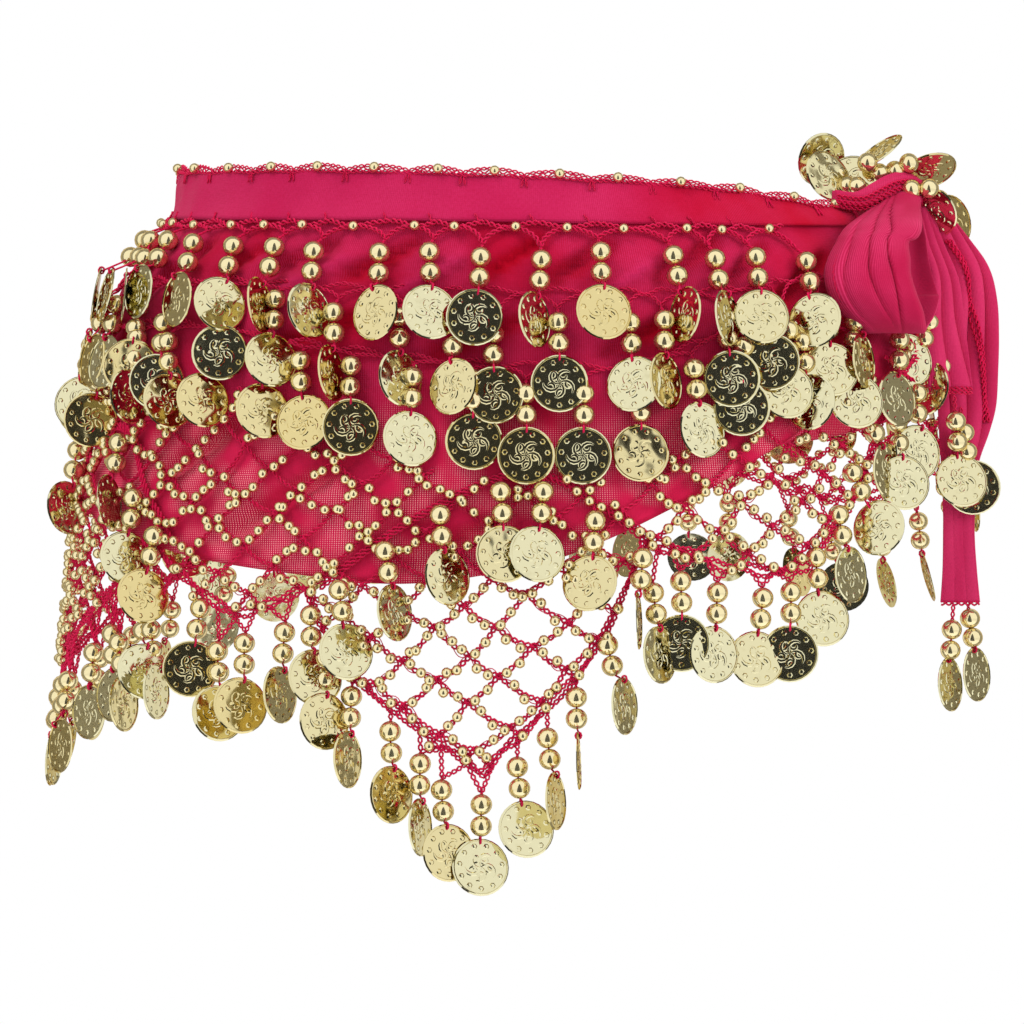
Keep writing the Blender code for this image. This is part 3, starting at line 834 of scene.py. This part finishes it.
# ---- the cloth ----
def creases(turn, height):
    """How far the cloth dips in, from the listed soft troughs and ridges."""
    across = length_at(turn)
    dip = np.zeros(np.shape(height))
    for turn_0, height_0, turn_1, height_1, half, depth in CREASES + BACK_CREASES:
        start = np.array((length_at(turn_0), height_0))
        way = np.array((length_at(turn_1), height_1)) - start
        reach = np.linalg.norm(way)
        way = way / reach
        along = ((across - start[0]) * way[0] + (height - start[1]) * way[1]) / reach
        aside = (across - start[0]) * way[1] - (height - start[1]) * way[0]
        taper = np.clip(np.minimum(along, 1 - along) * 3.2 + 0.25, 0, 1)
        taper = taper * taper * (3 - 2 * taper)
        dip += CREASE_DEPTH * depth * taper * np.exp(-(aside / (0.8 * half)) ** 2)
    return dip


def cloth_lift(turn, height, share, dip):
    """The cloth's outer face: its creases, soft waves, and the gathers towards the knot."""
    length = length_at(turn)
    waves = 0.35 * np.sin(length / 9.0 + 2.2 * np.sin(height / 21.0))
    waves += 0.25 * np.sin(length / 5.3 - height / 8.0)
    gather = np.clip((np.abs(turn) - 123.0) / 45.0, 0, 1) ** 1.5
    folds = 2.0 * gather * (1 - np.cos(2 * np.pi * 2.4 * share + 0.4))
    return -(dip + waves * np.sin(np.pi * np.clip(share, 0, 1)) ** 0.5 + folds)


def make_cloth():
    """The wrapped cloth: its stitched top band stands out over the creased cloth below."""
    around, in_band, in_lower = CLOTH_GRID
    turns = np.linspace(-END_TURN, END_TURN, around)
    top, fold, hem = top_line(turns), row_lines[0](turns) + 1.2, hem_line(turns)
    band = np.linspace(0, 1, in_band)
    lower_top = fold + 0.15
    heights = np.concatenate((
        top[:, None] + (fold - top)[:, None] * band,
        lower_top[:, None] + (hem - lower_top)[:, None] * np.linspace(0, 1, in_lower),
    ), axis=1)
    turn = np.repeat(turns[:, None], in_band + in_lower, axis=1)
    share = (top[:, None] - heights) / (top - hem)[:, None]
    dip = creases(turn, heights)
    lift = cloth_lift(turn, heights, share, dip)
    flat_band = 1 - np.clip((np.abs(turns) - 128) / 30, 0, 1)[:, None]
    puff = BAND_STEP * (0.55 + 0.45 * np.sin(np.pi * np.clip(band, 0.02, 1)) ** 0.7)
    seam = 0.35 * np.exp(-((band - 0.16) / 0.07) ** 2)
    length = length_at(turns)[:, None]
    ripple = 0.35 * np.sin(length / 8.5 + 3.5 * band) + 0.25 * np.sin(length / 3.7)
    lift[:, :in_band] = lift[:, :in_band] * (1 - 0.6 * flat_band) + puff - seam + ripple
    rolled = heights[:, in_band:] - hem[:, None] < ROLLED_HEM
    lift[:, in_band:] += 0.45 * rolled - 0.9
    lift[:, -1] -= 0.5
    # Painted shade: the cloth's colour deepens where the creases dip in, and pales a little on the ridges.
    tints = np.clip(0.44 - 0.11 * dip, 0, 1)
    # The band is paler, and its colour deepens towards the knot: that deepening is painted shade.
    tints[:, :in_band] = 0.85 - 0.85 * np.clip((turns - 96) / 34, 0, 1)[:, None]
    # Painted light: the cloth's colour is paler low down, where the coins above shade it.
    tints[:, in_band:] += 0.35 * np.clip((-85 - heights[:, in_band:]) / 15, 0, 1)
    pile = Pile()
    uvs = np.stack((length_at(turn), heights), axis=-1)
    add_sheet(pile, on_scarf(turn, heights, lift), on_scarf(turn, heights, lift - CLOTH), uvs, tints)
    return piece("wrap_cloth", pile, CLOTH_FINISH, ("hip_cloth",))


# ---- crochet trim ----
def small_bead(pile, turn, height, lift):
    put(pile, SMALL_FORM, on_scarf(turn, height, lift), any_axes())


def make_edging():
    """The top edging: a ladder of chains in low arcs, tied into the cloth, with a bead on each."""
    threads, beads = Pile(), Pile()
    ends = length_at(-END_TURN), length_at(END_TURN)
    count = round((ends[1] - ends[0]) / TIE_GAP)
    ties = np.linspace(*ends, count + 1)
    ties[1:-1] += rng.uniform(-2.5, 2.5, count - 1)
    share, rungs = np.linspace(0, 1, 24), np.linspace(0.12, 0.88, 11)
    arc = np.sin(np.pi * share) ** 0.6
    zigzag = np.where(np.arange(11) % 2, 0.1, 0.9) * np.sin(np.pi * rungs) ** 0.6
    for start, end in zip(ties, ties[1:]):
        turn = turn_at(start + (end - start) * share)
        base = top_line(turn)
        rise = EDGING_RISE * rng.uniform(0.8, 1.2)
        add_chain(threads, route(turn, base + 0.2 + rise * arc, 0.3), TOP_CHAIN)
        add_chain(threads, route(turn, base - 0.7 + 0.35 * rise * arc, 1.35))
        turn = turn_at(start + (end - start) * rungs)
        path, out = resample(route(turn, top_line(turn) + zigzag * rise, 0.7), 1.1)
        add_tube(threads, path, out, 0.34)
        middle = float(turn_at((start + end) / 2 + rng.uniform(-2, 2)))
        small_bead(beads, middle, float(top_line(middle)) + rise * 0.7, 2.0)
        add_feet(threads, float(turn_at(start)))
    made = piece("top_edging_threads", threads, THREAD_FINISH, ("top_edging",))
    return [made, piece("top_edging_beads", beads, BEAD_FINISH)]


def add_feet(threads, turn):
    """Two short chains that tie the top edging into the band."""
    top = float(top_line(turn))
    for lean in (-0.5, 0.4):
        turns = turn, turn + lean * 0.6, turn + lean
        heights = top + 0.8, top - 2, top - 4.2
        add_chain(threads, route(turns, heights, (0.4, BAND_STEP + 0.3, BAND_STEP + 0.1)), TOP_FOOT_CHAIN)


def make_heading(goods, line, heads, strong):
    """The line a row hangs from: a chain tied up at each drop, and scallops from drop to drop."""
    half, thread = STRONG_CHAIN if strong else HEADING_CHAIN
    lift = 1.2 if strong else 0.6
    share = np.linspace(0, 1, 15)
    for (turn_0, height_0), (turn_1, height_1) in zip(heads, heads[1:]):
        turn = turn_0 + (turn_1 - turn_0) * share
        base = line(turn)
        zigzag = 2.2 * np.abs(2 * share - 1) - 1.0 + rng.uniform(-0.6, 0.6) * np.sin(2 * np.pi * share)
        add_chain(goods.threads, route(turn, base + zigzag, lift + 0.2), (half, thread))
        ends = height_0 + (height_1 - height_0) * share
        scallop = ends + (base - 0.8 - ends) * np.sin(np.pi * share) ** 0.55
        add_chain(goods.threads, route(turn, scallop, lift + 0.5), (half * 0.9, thread))
        if strong:
            foot = float(line(turn_0))
            keys = (turn_0 - 0.6, foot + 0.5, lift), (turn_0 - 1.5, foot + 4.2, BAND_STEP + 0.2)
            add_chain(goods.threads, keys, FOOT_CHAIN)
            at = turn_0 + (turn_1 - turn_0) * (0.5 + rng.uniform(-0.12, 0.12))
            small_bead(goods.beads, at, float(line(at)) - 0.5 + rng.uniform(-0.6, 0.6), 2.9)


def make_rows():
    """The three rows of drops round the hips, each on its crochet line."""
    made = []
    plans = zip(row_lines, (FIRST_ROW, SECOND_ROW, THIRD_ROW), ROW_COIN_LIFTS)
    for number, (line, front, coin_lift) in enumerate(plans, start=1):
        goods = Goods()
        heads = []
        for drop in sorted(list(front) + back_row(line, ROW_BACK)):
            heads.append((drop[0], min(float(line(drop[0])) - 2.0, drop[1] + 5.0)))
            hang(goods, drop, heads[-1], ROW_LIFT, coin_lift)
        make_heading(goods, line, heads, strong=number == 1)
        made += goods.finish(f"coin_row_{number}", (f"coin_row_{number}",))
    return made


def make_arch(name, arch, drops, first_turn):
    """A line of two chains over a point of the net, and the drops that hang from it."""
    goods = Goods()
    line = either(arch, arch)
    turns = np.linspace(first_turn, arch[-1][0], 60)
    for shift in (-0.7, 0.7):
        add_chain(goods.threads, route(turns, line(turns) + shift, NET_LIFT + 0.3), ARCH_CHAIN)
    for drop in drops:
        hang(goods, drop, (drop[0], min(float(line(drop[0])), drop[1] + 6)), 5.4, 6.4)
    return goods.finish(name, (name,))


def net_sides():
    """The sides of the net's diamonds, as pairs of places (length round the scarf, height)."""
    (along, fall), (across, rise) = NET_ACROSS
    span = range(-120, 121)
    i, j = np.meshgrid(span, span, indexing="ij")
    length = along * i + across * j + rng.uniform(-1.5, 1.5, i.shape)
    height = -110 + fall * i + rise * j + rng.uniform(-1.5, 1.5, i.shape)
    places = np.stack((length, height), axis=-1)
    inside = (length > RING_LENGTH[0] + 6) & (length < RING_LENGTH[-1] - 6) & (height < -30) & (height > -225)
    return [side for axis in (0, 1) for side in zip(places[inside], np.roll(places, -1, axis=axis)[inside])]


def clip_side(start, end):
    """The stretch of a side that lies between the net's top line and its edge chain."""
    share = np.linspace(0, 1, 15)
    line = start + (end - start) * share[:, None]
    line[:, 1] -= SIDE_SAG * np.sin(np.pi * share)
    turn = turn_at(line[:, 0])
    inside = (line[:, 1] < net_top_line(turn)) & (line[:, 1] > net_edge_line(turn) + EDGE_RISE * 0.75)
    if inside.sum() < 4:
        return None
    first, last = np.flatnonzero(inside)[[0, -1]]
    return turn[first:last + 1], line[first:last + 1, 1], share[first:last + 1]


def make_net():
    """The beaded net: diamonds of chain, with beads along the sides and a tie at each crossing."""
    halves = {"front": (Pile(), Pile()), "back": (Pile(), Pile())}
    for start, end in net_sides():
        clipped = clip_side(start, end)
        if clipped is None:
            continue
        turn, height, share = clipped
        threads, beads = halves["front" if turn.mean() >= 0 else "back"]
        hanging = height.mean() < float(hem_line(turn.mean())) - 1
        keys = route(turn, height, NET_LIFT)
        add_chain(threads, keys, HANGING_CHAIN if hanging else NET_CHAIN)
        if hanging:
            add_loose_strand(threads, keys)
        add_side_beads(beads, turn, height, share, hanging)
        starts_inside = share[0] == 0
        if starts_inside:
            add_tie(threads, turn[0], height[0])
    made = []
    for half, (threads, beads) in halves.items():
        replaced = ("bead_net",) if half == "front" else ()
        made.append(piece(f"net_{half}_threads", threads, THREAD_FINISH, replaced))
        made.append(piece(f"net_{half}_beads", beads, BEAD_FINISH))
    return made


def add_side_beads(beads, turn, height, share, hanging):
    """Two or three beads along a side of a diamond, or none on some sides over the cloth."""
    places = (0.3, 0.68) if hanging and rng.uniform() < 0.8 else (0.2, 0.5, 0.8)
    if not hanging and rng.uniform() < 0.30:
        return
    for at in places:
        at += rng.uniform(-0.05, 0.05)
        if share[0] - 0.03 < at < share[-1] + 0.03:
            beside = rng.choice((-1.0, 1.0)) * rng.uniform(0.5, 1.5)
            bead_turn, bead_height = (float(np.interp(at, share, line)) for line in (turn, height))
            lift = NET_LIFT + 1.6 + rng.uniform(0, 0.4)
            small_bead(beads, bead_turn + beside * 0.15, bead_height + beside, lift)


def add_loose_strand(threads, keys):
    """A single thread that runs beside a chain in slack loops."""
    along = 2 * np.pi * np.linspace(0, 1, len(keys))
    slack = rng.choice((-1.0, 1.0)) * rng.uniform(1.2, 2.2) * np.sin(along + rng.uniform(-0.5, 0.5))
    path, out = resample(keys + route(0.08 * slack, slack, 0.5), 1.1)
    add_tube(threads, path, out, 0.2)


def add_tie(threads, turn, height):
    """A small wrapped knot where chains of the net cross."""
    axes = any_axes()
    ring = (2 * np.pi * np.arange(8) / 7)[:, None]
    loop = on_scarf(turn, height, NET_LIFT + 0.2) + 0.85 * (np.cos(ring) * axes[0] + np.sin(ring) * axes[1])
    add_tube(threads, loop, axes[2], 0.5)


def make_net_edge():
    """The thick edge of two chains that wind round each other, picots down to each drop, and the drops."""
    goods = Goods()
    fringed = np.linspace(-158, 158, 760)
    length = length_at(fringed)
    wander = 0.9 * np.sin(length / 3.1 + 1.5 * np.sin(length / 17)) + 0.6 * np.sin(length / 1.9)
    edge = net_edge_line(fringed) + EDGE_RISE + 0.5 * wander
    braid = 1.5 * np.sin(length / 3.7 + 1.2 * np.sin(length / 11))
    for side, out in ((-1, 0.1), (1, 0.5)):
        add_chain(goods.threads, route(fringed, edge + side * braid, NET_LIFT + out), EDGE_CHAIN, 1.0)
    for drop in sorted(list(EDGE_DROPS) + back_row(net_edge_line, EDGE_BACK)):
        head = (drop[0], drop[1] + 4.2)
        hang(goods, drop, head, 1.6, 1.6)
        add_picot(goods.threads, *head)
    return goods.finish("net_fringe", ("net_fringe",))


def add_picot(threads, turn, height):
    """Two chains that hold a drop, from the edge chain; on a slope one hangs straight down."""
    length = float(length_at(turn))
    step = 6
    low, high = (float(net_edge_line(turn_at(length + side * step))) for side in (-1, 1))
    slope = np.clip(1.2 * (high - low) / (2 * step), -1, 1)
    for side in (-1, 1):
        anchor = float(turn_at(length - 4.5 * slope + side * 4.5))
        rise = float(net_edge_line(anchor)) + EDGE_RISE
        if rise >= height:
            turns = turn, (turn + anchor) / 2, anchor
            heights = height, (height + rise) / 2 - 0.4, rise
            add_chain(threads, route(turns, heights, (NET_LIFT + 0.2, NET_LIFT, NET_LIFT)), PICOT_CHAIN)


# ---- knot, loop and tails ----
def read_rows(table, shares):
    """Each column of a table, read smoothly at even shares of its length."""
    keyed = tuple((k, *row) for k, row in enumerate(table))
    at = np.asarray(shares) * (len(table) - 1)
    return [smooth(keyed, at, column) for column in range(1, len(keyed[0]))]


def make_loop():
    """The bow's loop: a pleated ribbon that comes down from the knot and goes back up behind."""
    down, across = 96, 90
    row = np.linspace(0, len(LOOP) - 1, down)
    side = np.linspace(0, 1, across)
    height, left, right, depth, soft, *places = read_rows(LOOP, row / (len(LOOP) - 1))
    front = np.clip((LOOP_TURN - row) / 1.5, 0, 1)
    out = np.zeros((down, across))
    for place, (deep, half, lasting) in zip(places, PLEATS):
        strength = soft + (front - soft) * lasting
        out -= deep * strength[:, None] * np.exp(-((side - place[:, None]) / half) ** 2)
    for k in range(down):
        bulge = np.interp(side, (0, places[0][k], places[1][k], places[2][k], 1), (0, 1, 2, 3, 4))
        out[k] += 1.3 * soft[k] * np.abs(np.sin(np.pi * bulge)) ** 0.7 * (side < places[2][k])
    rolled = 6.0 * np.clip(1 - side / 0.14, 0, 1) ** 2 + 2.4 * np.clip((side - 0.93) / 0.07, 0, 1) ** 2
    front = front[:, None]
    out += (3.0 * np.sin(np.pi * side) - rolled) * front
    behind = (1 - front) * np.cos(2 * np.pi * 1.4 * side)
    x = left[:, None] + (right - left)[:, None] * side
    y = depth[:, None] - out + behind
    z = height[:, None] + 0.8 * np.sin(np.pi * side) * front
    grid = np.stack((x, y, z), axis=-1)
    pile, edging = Pile(), Pile()
    # A low tint of 0.12: painted shade, the loop's colour is deepened.
    add_sheet(pile, grid, grid - grid_normals(grid), cut_uvs(grid, side * 42.0), tints=0.12)
    left_fold = grid[4:40, 8] + (-0.5, -0.7, 0.0)
    add_chain_on(edging, left_fold, (-0.4, -0.9, 0.0), LOOP_CHAIN)
    loop = piece("bow_loop_cloth", pile, TIE_FINISH, ("bow_loop",))
    return [loop, piece("bow_loop_edging_threads", edging, THREAD_FINISH)]


def cut_uvs(grid, across):
    """The places of a grid's points on the flat cut: so far across, and down its middle column."""
    reach = reach_along(grid[:, grid.shape[1] // 2])
    return np.stack(np.broadcast_arrays(across, reach[:, None]), axis=-1)


def ribbon(table, along, across, folds, start=0.0, end=1.0, lift=0.0):
    """A grid down a hanging ribbon that is folded along its length."""
    share = np.linspace(0, 1, along)
    side = np.linspace(start, end, across)
    x, y, z, width, facing, fold = read_rows(table, share)
    way = np.stack((np.cos(np.radians(facing)), np.sin(np.radians(facing)), 0 * facing), axis=-1)
    out = np.stack((way[:, 1], -way[:, 0], 0 * facing), axis=-1)
    wander = 0.25 * np.sin(4.0 * share)[:, None]
    wave = np.abs(np.sin(np.pi * (folds * side + wander))) ** 0.6 - 0.5
    depth = fold[:, None] * wave + lift
    centre = np.stack((x, y, z), axis=-1)
    return (centre[:, None] + way[:, None] * (width[:, None] * (side - 0.5))[..., None]
            + out[:, None] * depth[..., None])


def make_tail(name, table, along, folds, cut):
    """The cloth of one free end."""
    across = 44
    grid = ribbon(table, along, across, folds)
    pile = Pile()
    uvs = cut_uvs(grid, np.linspace(0, cut, across))
    # A high tint of 0.65: painted light, the free ends' colour is paler.
    add_sheet(pile, grid, grid - grid_normals(grid) * CLOTH, uvs, tints=0.65)
    return piece(name + "_cloth", pile, TIE_FINISH, (name,))


def make_tail_edging():
    """Chains that run down across the outer end, and along the lower edge of both."""
    threads = Pile()
    columns = 60
    outer = ribbon(TAIL_OUTER, 150, columns + 1, TAIL_FOLDS[0], lift=2.2)
    first, last = 12, 84
    rows = np.arange(first, last)
    for shift in (0.0, 0.045):
        across = np.interp(rows, (first, last), (0.30, 0.88)) + shift
        line = np.pad(outer[rows, np.round(across * columns).astype(int)], ((4, 4), (0, 0)), mode="edge")
        line = np.stack([np.convolve(part, np.ones(9) / 9, "valid") for part in line.T], axis=1)
        add_chain_on(threads, line, (0.6, -0.8, 0.0), TAIL_CHAIN)
    for table, end, down in ((TAIL_OUTER, 0, 0.4), (TAIL_INNER, 1, 0.4), (TAIL_INNER, 1, 1.9)):
        line = ribbon(table, 12, 26, TAIL_FOLDS[end], 0.02, 0.98, 0.6)[-1] - (0, 0, down)
        add_chain_on(threads, line, (0.3, -0.95, 0.0), TAIL_CHAIN)
    return piece("tail_edging_threads", threads, THREAD_FINISH, ("tail_edging",))


def make_knot():
    """The tight knot: a pleated lump, with its long way from front to back."""
    rings = 40
    angles = math.pi * np.arange(1, rings) / rings
    profile = [(0.0, 1.0), *zip(np.sin(angles), np.cos(angles)), (0.0, -1.0)]
    points, quads, tris = lathe(profile, 96)
    angle = np.arctan2(points[:, 2], points[:, 1])
    pleat = 1 + 0.06 * np.cos(7 * angle + 3 * points[:, 0]) * (1 - points[:, 0] ** 2)
    facing = math.radians(KNOT_AT - 90.0)
    x_way, y_way = (math.cos(facing), math.sin(facing), 0), (-math.sin(facing), math.cos(facing), 0)
    turned = (points * pleat[:, None] * KNOT_RADII) @ np.array((x_way, y_way, (0, 0, 1)))
    pile = Pile()
    pile.add(turned + KNOT_CENTRE, quads, tris)
    return piece("knot_cloth", pile, TIE_FINISH, ("knot",))


def make_knot_band():
    """The gathered end that goes over the knot, with three chains of crochet along it."""
    along, around = 70, 40
    share = np.linspace(0, 1, along)
    x, y, z, width, thick = read_rows(BAND_PATH, share)
    path = np.stack((x, y, z), axis=1)
    way = unit(np.gradient(path, axis=0))
    up = unit(np.cross(way, (0.5, -0.85, 0.1)))
    out = np.cross(up, way)
    angle = 2 * np.pi * np.arange(around) / around
    gathers = 1 + 0.13 * np.cos(5 * angle + 2.5 * np.sin(3 * share)[:, None])
    ring = (path[:, None] + up[:, None] * (np.cos(angle) * gathers * width[:, None] * 0.5)[..., None]
            + out[:, None] * (np.sin(angle) * gathers * thick[:, None] * 0.5)[..., None])
    corner, following, quads = ring_faces(along, around)
    points = np.concatenate((ring.reshape(-1, 3), path[:1], path[-1:]))
    band, threads = Pile(), Pile()
    band.add(points, quads[:, ::-1], pole_faces(corner, following))
    for height, stand in ((0.48, 0.25), (0.25, 0.46), (-0.05, 0.54)):
        edge = path + up * (width * height)[:, None] + out * (thick * stand + 0.3)[:, None]
        add_chain_on(threads, edge, out, KNOT_CHAIN)
    over = piece("knot_band_cloth", band, TIE_FINISH, ("knot_band",))
    return [over, piece("knot_edging_threads", threads, THREAD_FINISH)]


def make_loose_drops(name, rows, nodes):
    """Drops at places of their own, each on a short thread that goes on up from its first bead."""
    goods = Goods()
    for row in rows:
        first, second, coin = (np.array(row[k:k + 3], float) for k in (0, 3, 6))
        add_drop(goods, first, second, coin, row[9], row[10], LOOSE_COIN_FORM)
        up = unit(first - second)
        path = np.linspace(first + up * 2.4, first + up * TIE_REACH, 10)
        add_chain_on(goods.threads, path, (0.1, -1.0, 0.0), TIE_CHAIN)
    return goods.finish(name, nodes)


# ---- light, floor and camera ----
# Corners in metres. The floor ends before it comes into the front view
FLOOR = ((-3.3, -12, -0.95), (12, -12, -0.95), (12, 3.3, -0.95), (-3.3, 3.3, -0.95))
DARK_CARD = ((-0.44, -0.80, -0.84), (0.44, -0.80, -0.84), (0.07, -0.80, 0.62), (-0.07, -0.80, 0.62))
# The four flags' front and back edges, how far aside they stand, and their low and high edges
FLAG_NEAR, FLAG_FAR, FLAG_ASIDE, FLAG_LOW, FLAG_HIGH = -0.10, 0.45, 0.7, -0.7, 0.5
# Each light: place, width, power
LIGHTS = {
    "key": ((-0.8, -0.9, 1.2), 0.7, 9.0),
    "fill": ((1.1, -0.8, 0.5), 0.7, 8.0),
    "back": ((0.6, 1.3, 0.9), 0.9, 9.0),
}
LIGHTS_AIM = (0, 0, -0.1)


def make_stage():
    scene = bpy.context.scene
    scene.view_settings.view_transform = "Standard"
    scene.world = bpy.data.worlds.new("studio")
    scene.world.use_nodes = True
    background = scene.world.node_tree.nodes["Background"]
    background.inputs["Color"].default_value = (1, 1, 1, 1)
    background.inputs["Strength"].default_value = 1.0
    floor = flat_piece("floor", FLOOR, [range(4)], plain_material("floor_white", (0.88, 0.88, 0.88)))
    card = flat_piece("dark_card", DARK_CARD, [range(4)], plain_material("card_black", (0.02, 0.02, 0.02)))
    flags = make_flags()
    for only_reflected in (card, flags):
        only_reflected.visible_camera = False
        only_reflected.visible_shadow = False
        only_reflected.visible_diffuse = False
    for name, light in LIGHTS.items():
        add_light(name, *light)
    scene.camera = bpy.data.objects.new("camera", bpy.data.cameras.new("camera"))
    scene.camera.location = (-0.0049, -1.5, -0.115)
    scene.camera.rotation_euler = (math.radians(90), 0, 0)
    scene.camera.data.lens = 140.2
    scene.camera.data.sensor_width = 36.0
    scene.collection.objects.link(scene.camera)


def make_flags():
    """Four grey flags round the scarf, seen only in the metal's reflections."""
    outline = (
        (-FLAG_ASIDE, FLAG_LOW), (FLAG_ASIDE, FLAG_LOW), (FLAG_ASIDE, FLAG_HIGH), (-FLAG_ASIDE, FLAG_HIGH),
    )
    corners = [(x, y, z) for y in (FLAG_NEAR, FLAG_FAR) for x, z in outline]
    faces = [(k, (k + 1) % 4, (k + 1) % 4 + 4, k + 4) for k in range(4)]
    return flat_piece("grey_flags", corners, faces, plain_material("flag_grey", (0.24, 0.22, 0.18)))


def flat_piece(name, corners, faces, finish):
    mesh = bpy.data.meshes.new(name)
    mesh.from_pydata(corners, [], faces)
    mesh.materials.append(finish)
    made = bpy.data.objects.new(name, mesh)
    bpy.context.scene.collection.objects.link(made)
    return made


def add_light(name, place, size, power):
    light = bpy.data.lights.new(name, "AREA")
    light.size = size
    light.energy = power
    made = bpy.data.objects.new(name, light)
    made.visible_glossy = False
    made.location = place
    x, y, z = np.subtract(LIGHTS_AIM, place)
    made.rotation_euler = (math.atan2(math.hypot(x, y), -z), 0, math.atan2(-x, y))
    bpy.context.scene.collection.objects.link(made)


def main():
    make_stage()
    cloth = make_cloth()
    trim = make_edging() + make_rows()
    trim += make_arch("arch_fringe_front", FRONT_ARCH, ARCH_DROPS, FRONT_ARCH[0][0])
    trim += make_arch("arch_fringe_side", SIDE_ARCH, SIDE_DROPS, -SIDE_ARCH[-1][0])
    trim += make_net() + make_net_edge()
    loop, loop_edging = make_loop()
    tails = [
        make_tail("tail_outer", TAIL_OUTER, 110, TAIL_FOLDS[0], TAIL_CUTS[0]),
        make_tail("tail_inner", TAIL_INNER, 50, TAIL_FOLDS[1], TAIL_CUTS[1]),
        make_tail_edging(),
    ]
    make_knot()
    make_knot_band()
    drops = make_loose_drops("knot_fringe", KNOT_DROPS, ("knot_fringe_inner", "knot_fringe_outer"))
    drops += make_loose_drops("tail_fringe", TAIL_DROPS, ("tail_fringe",))


main()
